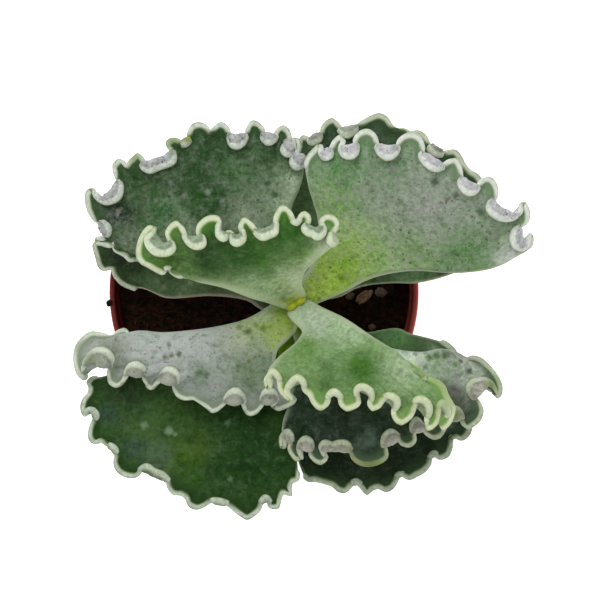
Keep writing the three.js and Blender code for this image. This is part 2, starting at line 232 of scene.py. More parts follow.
deselect()
bpy.ops.mesh.primitive_plane_add(size=FLOOR_WIDTH, location=(0, 0, 0))
floor = bpy.context.active_object
floor.name = "floor"
paper = Finish("white_paper")
speck = paper.grain(40, detail=2)
paper.shade(
    Base_Color=paper.mix(speck, ink("fbfbfb"), ink("fdfdfd")),
    Roughness=0.9,
    Emission_Color=(1, 1, 1, 1),
    Emission_Strength=FLOOR_GLOW,
)
floor.data.materials.append(paper.material)
print(floor.name, FLOOR_WIDTH, "m wide")

# %% [markdown]
# ## The pot
#
# A thin nursery pot is a round, moulded thing: a taper, a thicker band under the rim, and a hollow inside.
# It starts as a filled circle for the underside. Extrude and resize in turn draw it up the outside, over
# the rim and down the inside, and the last ring closes the inner floor. Each corner of the outline is first
# cut into a few short steps, which rounds the moulded edges.

# %% Turned shapes
def rounded(corners, steps=4):
    """An outline of (radius, height, fillet) corners with each corner cut into short steps."""
    points = []
    for i, (r, z, fillet) in enumerate(corners):
        here = Vector((r, z))
        if fillet == 0:
            points.append(tuple(here))
            continue
        back = (Vector(corners[i - 1][:2]) - here).normalized() * fillet
        on = (Vector(corners[i + 1][:2]) - here).normalized() * fillet
        for k in range(steps + 1):
            t = k / steps
            points.append(tuple(here + back * (1 - t) ** 2 + on * t**2))
    return points


def turned(name, rings, segments):
    """A filled circle, extruded and resized ring by ring along (radius, height) pairs in mm."""
    (r, z), *rest = rings
    deselect()
    bpy.ops.mesh.primitive_circle_add(
        vertices=segments, radius=r * MM, fill_type="NGON", location=(0, 0, z * MM)
    )
    made = bpy.context.active_object
    made.name = name
    made.data.name = name
    bpy.ops.object.transform_apply(location=True, rotation=True, scale=True)
    bpy.ops.object.mode_set(mode="EDIT")
    bpy.ops.mesh.select_all(action="SELECT")
    for new_r, new_z in rest:
        bpy.ops.mesh.extrude_region_move(TRANSFORM_OT_translate={"value": (0, 0, (new_z - z) * MM)})
        k = new_r / r
        bpy.ops.transform.resize(value=(k, k, 1), center_override=(0, 0, 0))
        r, z = new_r, new_z
    bpy.ops.mesh.select_all(action="SELECT")
    bpy.ops.mesh.normals_make_consistent(inside=False)
    bpy.ops.object.mode_set(mode="OBJECT")
    return made

# %% Pot body
RIM_RADIUS = 32
RIM_BAND = 9
RIM_STEP = 1.2
BASE_RADIUS = 22
WALL = 1.1
FLOOR = 1.5
POT_SEGMENTS = 120
BAND_Z = POT_HEIGHT - RIM_BAND
TAPER = (RIM_RADIUS - RIM_STEP - BASE_RADIUS) / BAND_Z
SHOULDER = BASE_RADIUS + TAPER * BAND_Z

outline = [
    (18, 0, 0),
    (BASE_RADIUS - 0.3, 0, 0.8),
    (SHOULDER, BAND_Z, 0.25),
    (RIM_RADIUS - 0.45, BAND_Z, 0.35),
    (RIM_RADIUS, POT_HEIGHT, 0.4),
    (RIM_RADIUS - WALL, POT_HEIGHT, 0.35),
    (RIM_RADIUS - WALL - 0.4, BAND_Z + 1, 0.5),
    (SHOULDER - WALL, BAND_Z - 0.4, 0.5),
    (BASE_RADIUS + TAPER * FLOOR - WALL, FLOOR, 0.9),
    (19, FLOOR, 0),
]
pot = turned("pot_moulded", rounded(outline), POT_SEGMENTS)
print("pot:", len(pot.data.vertices), "points before its holes")

# %% [markdown]
# Water drains through six round holes in the pot's floor. A hole could be cut by hand with inset and
# bridge, but the floor is one big face. So one cylinder stands where each hole goes, the six are joined,
# and a boolean takes them all out at once.

# %% Drain holes
DRAINS = 6
DRAIN_RADIUS = 3
DRAIN_CIRCLE = 16.5
DRAIN_SEGMENTS = 32
SMOOTH_ANGLE = math.radians(35)

deselect()
drills = []
for k in range(DRAINS):
    turn = math.radians(360 / DRAINS * k)
    spot = (DRAIN_CIRCLE * math.cos(turn) * MM, DRAIN_CIRCLE * math.sin(turn) * MM, FLOOR / 2 * MM)
    bpy.ops.mesh.primitive_cylinder_add(
        vertices=DRAIN_SEGMENTS, radius=DRAIN_RADIUS * MM, depth=3 * FLOOR * MM, location=spot
    )
    drills.append(bpy.context.active_object)
pick(drills[0])
for drill in drills[1:]:
    drill.select_set(True)
bpy.ops.object.join()
drill = bpy.context.active_object
pick(pot)
bpy.ops.object.modifier_add(type="BOOLEAN")
cut = pot.modifiers[-1]
cut.object = drill
cut.operation = "DIFFERENCE"
cut.solver = "EXACT"
bpy.ops.object.modifier_apply(modifier=cut.name)
bpy.data.objects.remove(drill)
pick(pot)
bpy.ops.object.shade_smooth_by_angle(angle=SMOOTH_ANGLE)
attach(pot, "root")
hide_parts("pot")
print("pot:", len(pot.data.vertices), "points")

# %% [markdown]
# The plastic is brick red, satin rather than glossy, with a fine grain. The top of the rim and the right side
# are painted a little paler, as highlights, and the inside wall above the soil is painted dark, nearly black
# towards the soil, as the shade down in the pot. Height and radius are enough to say where each belongs, so
# both are read from the point's own place.

# %% Pot plastic
SOIL_TOP = 50
RIM_HIGHLIGHT_HEIGHTS = (56.2, 57.1)
LIT_SIDE_SPAN = (18, 32)
INNER_SHADE_HEIGHTS = (47, 53)
INNER_SHADE_RAGGED = 6
INNER_OFFSET = 0.4

plastic = Finish("pot_plastic")
x, y, z = plastic.axes()
cloud = plastic.grain(130, detail=5)
grain = plastic.grain(2600, detail=3)
red = plastic.mix(plastic.band(cloud, 0.35, 0.7), ink("742019"), ink("7e261e"))
# Painted highlight: the top of the rim is made a little paler.
rim_highlight = plastic.band(z, RIM_HIGHLIGHT_HEIGHTS[0] * MM, RIM_HIGHLIGHT_HEIGHTS[1] * MM, 0, 0.3)
red = plastic.mix(rim_highlight, red, ink("a8463a"))
# Painted highlight: the pot's right side is made paler.
lit_side = plastic.band(x, LIT_SIDE_SPAN[0] * MM, LIT_SIDE_SPAN[1] * MM, 0, 0.75)
red = plastic.mix(lit_side, red, ink("e0645a"))

# Painted shade: the inside wall above the soil goes dark, nearly black towards the soil.
from_axis = plastic.maths("SQRT", plastic.maths("MULTIPLY_ADD", x, x, plastic.maths("MULTIPLY", y, y)))
wall_line = plastic.maths("MULTIPLY_ADD", z, TAPER, (BASE_RADIUS - WALL + INNER_OFFSET) * MM)
inside = plastic.band(plastic.maths("SUBTRACT", wall_line, from_axis), 0, INNER_OFFSET * MM)
level = plastic.maths("MULTIPLY_ADD", cloud, -INNER_SHADE_RAGGED * MM, z)
inner_shade = plastic.band(level, INNER_SHADE_HEIGHTS[0] * MM, INNER_SHADE_HEIGHTS[1] * MM, 0.95, 0.55)
red = plastic.mix(plastic.maths("MULTIPLY", inside, inner_shade), red, ink("1c0706"))
plastic.shade(
    Base_Color=red,
    Roughness=plastic.band(grain, 0.3, 0.7, 0.5, 0.65),
    Specular_IOR_Level=0.2,
    Normal=plastic.bump(grain, 0.25, 0.06 * MM),
)
pot.data.materials.append(plastic.material)
print("plastic:", len(plastic.tree.nodes), "nodes")

# %% [markdown]
# ## The soil
#
# The potting mix is nearly black peat with a few red-brown fibres. Its body is drawn up like the pot, and
# its upper face is a set of rings extruded inwards, so there are points all over it to push about. Noise
# lifts them into clods.

# %% Soil body
SOIL_RADIUS = 30.15
RING_STEP = 0.5
RING_COUNT = 59
SOIL_SEGMENTS = 160
CLOD_LIFT = 0.55
PIT_DEPTH = 0.25
STILL_EDGE = 1.5


def soil_height(x, y):
    """The gently waved level of the soil, in mm."""
    return SOIL_TOP + 0.7 * math.sin(x / 3.3 + 0.6) * math.cos(y / 3.9 - 0.4)


root_ball = [(20.4, FLOOR + 0.3), (29.2, 46.8), (29.9, 48.6), (SOIL_RADIUS, 49.8)]
face_rings = [(SOIL_RADIUS - RING_STEP * k, SOIL_TOP + 0.001 * k) for k in range(1, RING_COUNT + 1)]
soil = turned("soil_peat", root_ball + face_rings, SOIL_SEGMENTS)
for v in soil.data.vertices:
    x, y, z = v.co / MM
    if z > SOIL_TOP - 0.1:
        away = min(1, (SOIL_RADIUS + 0.05 - math.hypot(x, y)) / STILL_EDGE)
        clods = noise.fractal(Vector((x, y, 3)) * 0.55, 0.9, 2.1, 5)
        pits = noise.cell_vector(Vector((x, y, 0)) * 1.6)[0] - 0.5
        v.co.z = (soil_height(x, y) + away * (CLOD_LIFT * clods + PIT_DEPTH * pits)) * MM
print("soil bed:", len(soil.data.vertices), "points")

# %% [markdown]
# Loose crumbs and slivers of bark lie on the bed. Each kind is modelled once, as an icosphere that noise
# dents and facets. A seeded dice then strews the copies, so that they fall the same way every time.

# %% Crumbs and slivers
CRUMB_SIZES = [(1.3, 1.0, 0.8), (0.9, 0.8, 0.6), (1.7, 1.1, 0.9)]
SLIVER_SIZES = [(3.2, 0.3, 0.2), (2.2, 0.5, 0.2), (4.2, 0.22, 0.2)]

soil_dice = random.Random(5)


def lump(name, place, size, turn, seed, rough, detail):
    """An icosphere, dented by noise, squashed and turned. Its place and size are in mm."""
    deselect()
    bpy.ops.mesh.primitive_ico_sphere_add(subdivisions=detail, radius=0.5)
    made = bpy.context.active_object
    made.name = name
    made.data.name = name
    for v in made.data.vertices:
        dent = noise.fractal(v.co * 3.1 + Vector((seed, seed, 0)), 1, 2, 3)
        facet = noise.cell(v.co * 2.2 + Vector((0, seed, seed)))
        v.co *= 1 + rough * dent + 0.4 * rough * (facet - 0.5)
    made.scale = [c * MM for c in size]
    made.rotation_euler = (0, 0, math.radians(turn))
    made.location = [c * MM for c in place]
    bpy.ops.object.transform_apply(location=True, rotation=True, scale=True)
    return made


def scatter(kinds, count, spread):
    """Copies the kinds about the soil, each with its own mesh, and returns the copies."""
    made = []
    for _ in range(count):
        reach = spread * math.sqrt(soil_dice.random())
        angle = soil_dice.uniform(0, math.tau)
        x, y = reach * math.cos(angle), reach * math.sin(angle)
        source = soil_dice.choice(kinds)
        copy = source.copy()
        copy.data = source.data.copy()
        turn = Matrix.Rotation(soil_dice.uniform(0, math.tau), 4, "Z")
        tip = Matrix.Rotation(soil_dice.uniform(-0.5, 0.5), 4, "X")
        grow = Matrix.Scale(soil_dice.uniform(0.5, 1.3), 4)
        lie = Matrix.Translation(Vector((x, y, soil_height(x, y) + 0.25)) * MM)
        copy.data.transform(lie @ turn @ tip @ grow)
        bpy.context.scene.collection.objects.link(copy)
        made.append(copy)
    return made


origin = (0, 0, 0)
crumb_kinds = [lump("crumb_kind", origin, size, 0, k, 0.5, 2) for k, size in enumerate(CRUMB_SIZES)]
crumbs = scatter(crumb_kinds, count=420, spread=29)
sliver_kinds = [lump("sliver_kind", origin, size, 0, 9 + k, 0.2, 1) for k, size in enumerate(SLIVER_SIZES)]
slivers = scatter(sliver_kinds, count=90, spread=28)
for kind in crumb_kinds + sliver_kinds:
    bpy.data.objects.remove(kind)
print(len(crumbs), "crumbs and", len(slivers), "slivers")

# %% [markdown]
# Peat is matte and takes up light, so its shader is rough and hardly reflects. Coarse noise makes paler
# clumps and a few rusty flecks. Bark is a little lighter, with fine streaks. Bed, crumbs and slivers are
# then joined, because the soil is one body that doesn't come apart.

# %% Soil materials
CRUMB_ANGLE = math.radians(50)

peat = Finish("potting_mix")
clumps = peat.grain(900, detail=6, rough=0.7)
flecks = peat.grain(420, detail=3)
dark = peat.mix(peat.band(clumps, 0.35, 0.72), ink("0c0704"), ink("34200f"))
dark = peat.mix(peat.band(flecks, 0.55, 0.68, 0, 0.7), dark, ink("4a2012"))
peat.shade(Base_Color=dark, Roughness=0.92, Specular_IOR_Level=0.12, Normal=peat.bump(clumps, 0.9, 0.4 * MM))

bark = Finish("bark_sliver")
streaks = bark.mix(bark.grain(1500, detail=3), ink("1c0f0a"), ink("4a2818"))
bark.shade(Base_Color=streaks, Roughness=0.85, Specular_IOR_Level=0.2)

for piece in crumbs + [soil]:
    piece.data.materials.append(peat.material)
for piece in slivers:
    piece.data.materials.append(bark.material)
pick(soil)
for piece in crumbs + slivers:
    piece.select_set(True)
bpy.ops.object.join()
bpy.ops.object.shade_smooth_by_angle(angle=CRUMB_ANGLE)
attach(soil, "root")
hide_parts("soil")
print("soil:", len(soil.data.polygons), "faces")

# %% [markdown]
# ## Plan and place
#
# The leaves were drawn in plan, as the eye above sees them. In the plan x runs to the right and y down, and
# one millimetre at the rim is 4.84 units. Something higher is nearer to the eye and looks larger, so a plan
# point needs a height before it has a real place. place_of and plan_of turn one into the other, and the CAD
# model's leaves were laid out by the same rule.

# %% Plan to place and back
UNITS_PER_MM = 4.84
PLAN_CENTRE = (300, 300)
POT_AXIS = (264, 292)


def nearness(z):
    """How much smaller than in plan something of height z in mm really is."""
    return (EYE_HEIGHT - (z - POT_HEIGHT)) / EYE_HEIGHT


def place_of(plan):
    """Real places in mm of plan points, as rows of x, y and height."""
    plan = np.asarray(plan, float)
    z = plan[..., 2]
    x = PLAN_CENTRE[0] + (plan[..., 0] - PLAN_CENTRE[0]) * nearness(z) - POT_AXIS[0]
    y = POT_AXIS[1] - PLAN_CENTRE[1] - (plan[..., 1] - PLAN_CENTRE[1]) * nearness(z)
    return np.stack([x / UNITS_PER_MM, y / UNITS_PER_MM, z], -1)


def plan_of(place):
    """The reverse of place_of."""
    place = np.asarray(place, float)
    z = place[..., 2]
    x = POT_AXIS[0] + place[..., 0] * UNITS_PER_MM - PLAN_CENTRE[0]
    y = POT_AXIS[1] - place[..., 1] * UNITS_PER_MM - PLAN_CENTRE[1]
    return np.stack([PLAN_CENTRE[0] + x / nearness(z), PLAN_CENTRE[1] + y / nearness(z), z], -1)


print("middle of the plan in mm:", np.round(place_of((*PLAN_CENTRE, POT_HEIGHT)), 2))

# %% [markdown]
# ## Stones and a stray crumb
#
# A few stones of the mix lie on the soil at the right, and one black crumb sticks to the rim at the left.
# Each is an icosphere, dented by noise, then squashed and turned to lie as its node does. The stones have
# finer faces than the crumbs, because they are seen close up.

# %% Stones: plan place, size in mm and turn in degrees
STONES = {
    "grit_1": ((364, 296.5), (3.9, 2.2, 1.8), 36),
    "grit_2": ((380.5, 292), (2.5, 2.1, 1.6), -10),
    "grit_3": ((350, 296), (2, 1.5, 1.3), 30),
    "grit_4": ((372, 327), (1.7, 1.3, 1.1), 0),
}
STONE_BED = 0.3
STONE_ANGLE = math.radians(30)


def stone_skin(name, pale, dark):
    skin = Finish(name)
    vein = skin.grain(500, detail=5, rough=0.65)
    fine = skin.grain(2600, detail=3)
    colour = skin.mix(skin.band(vein, 0.35, 0.65), ink(dark), ink(pale))
    skin.shade(Base_Color=colour, Roughness=0.8, Normal=skin.bump(fine, 0.6, 0.1 * MM))
    return skin.material


tan = stone_skin("tan_grit", "a88660", "5e4630")
# Painted shade: the next material is the tan grit made darker, for the two small stones that lie in shade
# under the leaves' edges.
shaded_tan = stone_skin("shaded_tan_grit", "6e5a3c", "33281a")
grey = stone_skin("grey_grit", "7b675b", "46382f")
for seed, (node, (spot, size, turn)) in enumerate(STONES.items()):
    x, y, _ = place_of((*spot, SOIL_TOP))
    z = soil_height(x, y) + STONE_BED + size[2] / 2
    stone = lump(node + "_stone", (x, y, z), size, turn, 3 + seed, 0.22, 4)
    stone.data.materials.append({"grit_1": tan, "grit_2": grey}.get(node, shaded_tan))
    bpy.ops.object.shade_smooth_by_angle(angle=STONE_ANGLE)
    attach(stone, "root")
    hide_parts(node)
    print(stone.name, "at", round(x, 1), round(y, 1))

# %% The crumb on the rim
CRUMB_PLAN = (109, 303)
CRUMB_LIFT = 0.75

x, y, z = place_of((*CRUMB_PLAN, POT_HEIGHT + CRUMB_LIFT))
stray = lump("soil_crumb_black", (x, y, z), (1.5, 1.2, 0.9), 70, 20, 0.3, 3)
stray.data.materials.append(peat.material)
bpy.ops.object.shade_smooth()
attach(stray, "root")
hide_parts("soil_crumb")
print(stray.name, "at", round(x, 1), round(y, 1))

# %% [markdown]
# ## The stem
#
# The stem is short, upright and fleshy, and it leans a little to the right. It is a cylinder, drawn out
# ring by ring up to its tip, as one extrudes a face and scales it in edit mode. Each pair of leaves leaves
# a low ring where it clasps the stem, and above a pinch the stem swells towards the next ring. At last
# every point is shifted sideways by as much as the stem leans at its height.

# %% Stem measurements
STEM_FOOT = np.array([4.8, -1.7, 44])
STEM_TIP = np.array([6.7, -2.4, 82.3])
STEM_OUTLINE = [(3, 44), (2.9, 60), (2.6, 74), (2.4, 79), (1.8, 81.4), (1.1, 82.3)]
NODE_HEIGHTS = (60, 65.5, 71.5, 77.5)
STEM_RING = 0.6
STEM_SEGMENTS = 40


def stem_at(z):
    return STEM_FOOT + (STEM_TIP - STEM_FOOT) * (z - STEM_FOOT[2]) / (STEM_TIP[2] - STEM_FOOT[2])


def stem_radius(z):
    return float(np.interp(z, [h for _, h in STEM_OUTLINE], [r for r, _ in STEM_OUTLINE]))


def stem_ring(z):
    """The radius with the low ring at each pair of leaves, and the pinch under it."""
    swell = sum(0.22 * math.exp(-(((z - n + 1.2) / 1.3) ** 2)) for n in NODE_HEIGHTS)
    pinch = sum(0.14 * math.exp(-(((z - n + 3.4) / 0.5) ** 2)) for n in NODE_HEIGHTS)
    return stem_radius(z) + swell - pinch


print("stem height in mm:", round(STEM_TIP[2] - STEM_FOOT[2], 1))

# %% Stem
ring_count = int((STEM_TIP[2] - STEM_FOOT[2]) / STEM_RING) + 1
ring_heights = [STEM_FOOT[2] + STEM_RING * k for k in range(ring_count)]
stem_rings = [(stem_ring(z), z) for z in ring_heights] + [(0.7, STEM_TIP[2] - 0.05)]
stem = turned("stem_fleshy", stem_rings, STEM_SEGMENTS)
for v in stem.data.vertices:
    x, y, _ = stem_at(v.co.z / MM)
    v.co.x += x * MM
    v.co.y += y * MM
pick(stem)
bpy.ops.object.shade_smooth()
print("stem:", len(stem_rings), "rings")

# %% [markdown]
# Old stem is a dull brown-green with rough rings, and the young top is as yellow-green as the bud. A band
# over the point's height blends one into the other.

# %% Stem skin
YOUNG_HEIGHTS = (64, 79)

stem_skin = Finish("stem_skin")
rings = stem_skin.grain(700, detail=4, rough=0.6)
young = stem_skin.band(stem_skin.axes()[2], YOUNG_HEIGHTS[0] * MM, YOUNG_HEIGHTS[1] * MM)
colour = stem_skin.mix(young, ink("5d6a3c"), ink("93a01c"))
colour = stem_skin.mix(stem_skin.band(rings, 0.5, 0.72, 0, 0.5), colour, ink("4d5230"))
stem_skin.shade(Base_Color=colour, Roughness=0.5, Normal=stem_skin.bump(rings, 0.3, 0.2 * MM))
stem.data.materials.append(stem_skin.material)
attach(stem, "root")
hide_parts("stem")
print("stem skin:", len(stem_skin.tree.nodes), "nodes")

# %% [markdown]
# ## The growing tip
#
# Between the top pair two tiny leaves are still folded against each other. A sphere is drawn out into a
# blade, hollowed a little on the inner side and curled in at its tip. The second faces the other way.

# %% Bud leaves
BUD_FACING = 33
BUD_SPREAD = 0.9
BUD_LEAN = 10
BUD_SIZE = (2.2, 1.6, 4.3)
BUD_GAP = 0.3

bud_skin = Finish("bud_leaf")
tone = bud_skin.grain(900, detail=3)
bud_skin.shade(Base_Color=bud_skin.mix(tone, ink("8c980c"), ink("b4bb22")), Roughness=0.45)

shift = Matrix.Translation((BUD_SPREAD, 0, 0))
lean = Matrix.Rotation(math.radians(BUD_LEAN), 4, "Y")
grow = Matrix.Diagonal((*BUD_SIZE, 1))
tip_place = Matrix.Translation(Vector(STEM_TIP) + Vector((0, 0, BUD_GAP + BUD_SIZE[2] / 2)))
for node, half_turn in (("bud_leaf_a", 0), ("bud_leaf_b", 180)):
    deselect()
    bpy.ops.mesh.primitive_uv_sphere_add(segments=24, ring_count=16, radius=0.5)
    bud = bpy.context.active_object
    bud.name = node + "_folded"
    bud.data.name = bud.name
    for v in bud.data.vertices:
        up = v.co.z + 0.5
        v.co.x *= 0.75 + 0.5 * math.sin(math.pi * up)
        v.co.x += 0.35 * v.co.y**2 - 0.18 * up**2
        v.co.y *= 0.7 + 0.45 * up
    facing = Matrix.Rotation(math.radians(BUD_FACING + half_turn), 4, "Z")
    bud.data.transform(Matrix.Scale(MM, 4) @ tip_place @ facing @ shift @ lean @ grow)
    bpy.ops.object.shade_smooth()
    bud.data.materials.append(bud_skin.material)
    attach(bud, "root")
    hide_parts(node)
    print(bud.name, len(bud.data.vertices), "points")

# %% [markdown]
# ## Smooth lines
#
# A leaf's sides and margin are curves through a few plan points each. A Catmull-Rom curve passes through
# every point that it is given, so a point can be set where the real edge is seen. The centripetal kind
# makes no loops where points lie close together. A second helper averages a line along its length, which
# takes out its waves.

# %% Curves through points
CURVE_STEPS = 12


def steps_between(points):
    return np.linalg.norm(np.diff(points, axis=0), axis=1)


def shares_along(points):
    """How far along the line each point lies, from 0 to 1."""
    run = np.concatenate([[0], np.cumsum(steps_between(points))])
    return run / run[-1]


def curve_through(points, shares):
    """Places on a smooth line through the points, at the given shares of its length."""
    p = np.asarray(points, float)
    p = np.vstack([2 * p[0] - p[1], p, 2 * p[-1] - p[-2]])
    t = np.linspace(0, 1, CURVE_STEPS + 1)[:-1, None]
    fine = []
    for p0, p1, p2, p3 in zip(p, p[1:], p[2:], p[3:]):
        k0 = math.sqrt(np.linalg.norm(p1 - p0)) + 1e-9
        k1 = math.sqrt(np.linalg.norm(p2 - p1)) + 1e-9
        k2 = math.sqrt(np.linalg.norm(p3 - p2)) + 1e-9
        m1 = k1 * ((p1 - p0) / k0 - (p2 - p0) / (k0 + k1) + (p2 - p1) / k1)
        m2 = k1 * ((p2 - p1) / k1 - (p3 - p1) / (k1 + k2) + (p3 - p2) / k2)
        start = (2 * t**3 - 3 * t**2 + 1) * p1 + (t**3 - 2 * t**2 + t) * m1
        fine.append(start + (3 * t**2 - 2 * t**3) * p2 + (t**3 - t**2) * m2)
    fine = np.vstack([*fine, p[-2:-1]])
    known = shares_along(fine)
    return np.stack([np.interp(shares, known, fine[:, i]) for i in range(fine.shape[1])], 1)

# %% Averaging along a line
def smoothed(values, reach):
    """values averaged along their line over about reach samples. The two ends stay where they are."""
    pad = min(int(3 * reach), len(values) - 1)
    before = 2 * values[0] - values[pad:0:-1]
    after = 2 * values[-1] - values[-2 : -pad - 2 : -1]
    long = np.concatenate([before, values, after])
    weights = np.exp(-0.5 * (np.arange(-pad, pad + 1) / reach) ** 2)
    weights /= weights.sum()
    if long.ndim == 1:
        return np.convolve(long, weights, "valid")
    return np.stack([np.convolve(long[:, i], weights, "valid") for i in range(long.shape[1])], 1)


def smooth_step(x):
    """Goes softly from 0 to 1 as x does."""
    x = np.clip(x, 0, 1)
    return x * x * (3 - 2 * x)

# %% [markdown]
# ## The leaves
#
# A leaf is a fleshy sheet with three free sides. Two are smooth and run out from the stem, and the third is
# the wavy margin at its far end. By hand one would pull such a frill out of a grid, fold by fold, which
# takes days. So each leaf starts as a plain grid, and a rule lays the grid's rows and columns:
#
# 1. The white bead is a line in plan, drawn through a point at each turn.
# 2. Averaged along its length, that line gives the margin's middle line. The blade is a Coons patch, a
#    sheet stretched between the middle line, the two smooth sides and the seat on the stem.
# 3. The last few millimetres of each column are a Bezier curve from the blade to the bead. Where the bead
#    turns outward the curve runs nearly straight and dips. Where it turns inward the curve first runs out,
#    then folds up and back over the blade, so that the pale underside shows beyond the bead.
#
# Solidify then gives the sheet its thickness. A vertex group makes it thick at the seat and round at the
# sides, narrows it to a neck near the margin, and swells it again into the round bead.
#
# The next five code cells hold the ten leaves, pair by pair, first where each one lies and then its
# colours. left, margin and right are plan points, with left and right as seen from the stem. toward is the
# way the leaf points, in degrees from +X. seat is its height on the stem, and heights are those of the
# margin's left end, middle and right end. arch lifts the sides and cup hollows the blade. bead is the
# bead's radius. A high tuck keeps a fold close to its bead, a large web makes it run out further, and droop
# hangs the outward turns.
#
# Of the colours, base is the leaf's own green, and areas, marks and stains lie on it as rows of plan x, plan
# y, reach in mm and colour. A bead goes from bead to white, with the fringe colour at its edges, a greenish
# band that is partly painted shade on the bead's round sides. web is the underside near the bead and further
# in, the further one darker partly as painted shade, and crease is painted shade in the fold between them.
# line is the greener line beside the bead, which is also painted shade behind the outward turns, and rim the
# pale rim of the smooth sides with its width. rim_from thins it near the stem. bloom and tinge are the two
# mottled films with their strength, grain is how uneven the powder is, and specks is how dark the specks are.

# %% [markdown]
# ### The youngest pair
#
# The top pair is the youngest and the brightest green. Its bloom is thin, it is freshest in the middle, and
# its beads are cream. The margins are the most tightly frilled of all, and both leaves rise steeply.

# %% The youngest pair
LEAVES = {}
PAINT = {}

LEAVES["leaf_1_back_left"] = dict(
    slot="young_leaf", toward=125, seat=84.1, heights=(98, 106, 103), arch=2, cup=1.5, bead=0.6, tuck=0.5,
    web=1.6,
    left=[(268, 303), (250, 298), (222, 287), (200, 281)],
    margin=[
        (186, 277), (178, 275), (172, 271), (168, 267), (165, 268), (163, 272), (156, 269), (149, 265),
        (143, 262), (139, 256), (139, 249), (141, 241), (145, 233), (150, 228), (154, 229), (151, 234),
        (147, 240), (150, 248), (156, 253), (162, 254), (169, 253), (173, 249), (171, 241), (168, 233),
        (172, 226), (178, 224), (182, 229), (185, 237), (190, 244), (196, 247), (203, 245), (203, 239),
        (199, 233), (200, 226), (206, 220), (213, 218), (219, 220), (218, 228), (219, 236), (224, 239),
        (229, 233), (232, 236), (233, 242), (237, 244), (243, 240), (243, 233), (241, 226), (243, 221),
        (247, 221), (253, 228), (258, 235), (263, 238), (269, 236), (275, 233), (276, 225), (277, 215),
        (281, 209), (286, 209), (290, 214), (293, 221), (297, 223), (300, 219), (303, 214), (308, 217),
        (308, 222), (304, 228), (307, 233), (313, 235), (317, 238), (321, 236), (324, 231), (322, 224),
        (323, 219), (328, 217), (334, 219), (337, 224), (334, 230), (330, 236), (329, 242), (333, 245),
        (338, 243),
    ],
    right=[(302, 284), (304, 273), (320, 256)],
)
PAINT["leaf_1_back_left"] = dict(
    base="7d9c64", bead="c1ccac", white="d6dfc6", fringe_and_shade="93a35c", web=("c8d3bc", "93a488"), crease="73856a",
    line="40701f", rim=("c4d2aa", 2.8), bloom=("98a38e", 0.14), tinge=("8f9a80", 0.14), grain=0.3,
    specks=0.25,
    # The pale areas at plan (293, 284) and (315, 262) are painted light, on the blade near the stem and on
    # its steep right side, which lie in shade.
    areas=[
        (245, 247, 10, "2c5c10"), (205, 250, 6.5, "214a0a"), (160, 262, 4.5, "466e1e"),
        (262, 283, 6, "98b080"), (293, 284, 5, "a6bc8a"), (315, 262, 5.5, "f0fbda"), (300, 253, 4, "6c9444"),
        (262, 258, 4, "3a6f14"), (241, 254, 4, "245608"), (292, 235, 4.5, "2f6316"),
        (288, 305, 2.4, "8f9c18"), (303, 302, 2, "93a01a"),
    ],
    marks=[],
)
LEAVES["leaf_1_front_right"] = dict(
    slot="young_leaf", toward=-58, seat=84.1, heights=(97, 104, 98), arch=2, cup=1.5, bead=0.6, tuck=0.75,
    web=0.6,
    left=[(322, 307), (345, 318), (366, 332), (384, 345)],
    margin=[
        (406, 360), (415, 367), (421, 373), (425, 379), (430, 380), (438, 383), (443, 388), (446, 396),
        (450, 403), (453, 409), (451, 417), (447, 424), (443, 427), (445, 420), (448, 412), (446, 405),
        (442, 402), (439, 407), (438, 414), (436, 422), (432, 427), (427, 427), (427, 419), (430, 411),
        (428, 403), (423, 399), (417, 399), (414, 406), (411, 414), (406, 420), (401, 422), (395, 418),
        (394, 411), (398, 404), (396, 398), (389, 395), (383, 399), (378, 406), (373, 408), (370, 404),
        (372, 397), (370, 390), (362, 386), (357, 389), (357, 397), (358, 403), (352, 407), (346, 408),
        (342, 404), (340, 396), (334, 391), (329, 395), (327, 402), (324, 407), (319, 407), (314, 402),
        (311, 395), (305, 389), (303, 381), (298, 377), (292, 381), (288, 387), (287, 393), (291, 399),
        (285, 395), (281, 389), (280, 381), (277, 374), (273, 371), (270, 376), (270, 382), (269, 387),
        (266, 382), (267, 374),
    ],
    right=[(292, 321), (302, 331), (297, 341), (279, 357), (270, 367)],
)
PAINT["leaf_1_front_right"] = dict(
    base="7b9b63", bead="c1cca6", white="d6dfc0", fringe_and_shade="94a552", web=("b6c19e", "83926c"), crease="6c7c58",
    line="6f9648", rim=("b9c6a4", 1.4), bloom=("99a78b", 0.16), tinge=("90a080", 0.16), grain=0.25,
    specks=0.25,
    areas=[
        (315, 320, 7, "b0c0a6"), (342, 352, 4, "7ca064"), (350, 331, 3.5, "a9c09a"), (364, 370, 4, "366a0c"),
        (330, 382, 4.5, "52783c"), (402, 368, 4.5, "a2b890"), (304, 348, 3.5, "6a9248"),
    ],
    marks=[
        (309, 345, 1, "6a9440"), (316, 345, 1, "7fa35c"), (324, 341, 1, "809c64"), (350, 343, 0.9, "5c8c3c"),
        (341, 356, 0.7, "52763c"), (356, 362, 1.2, "4c7c18"),
    ],
    stains=[
        (420, 372, 1.8, "84a058"), (434, 383, 2.2, "93ad68"), (443, 391, 2.2, "98b070"),
        (446, 402, 2, "a4b482"),
    ],
)
print("leaves laid out so far:", len(LEAVES))

# %% [markdown]
# ### The silver pair
#
# The second pair has the thickest bloom, so it is silver-grey, with yellow-green towards the stem and dark
# specks all over. Its left leaf is arched and shows little of its face, and the right one is the broadest.

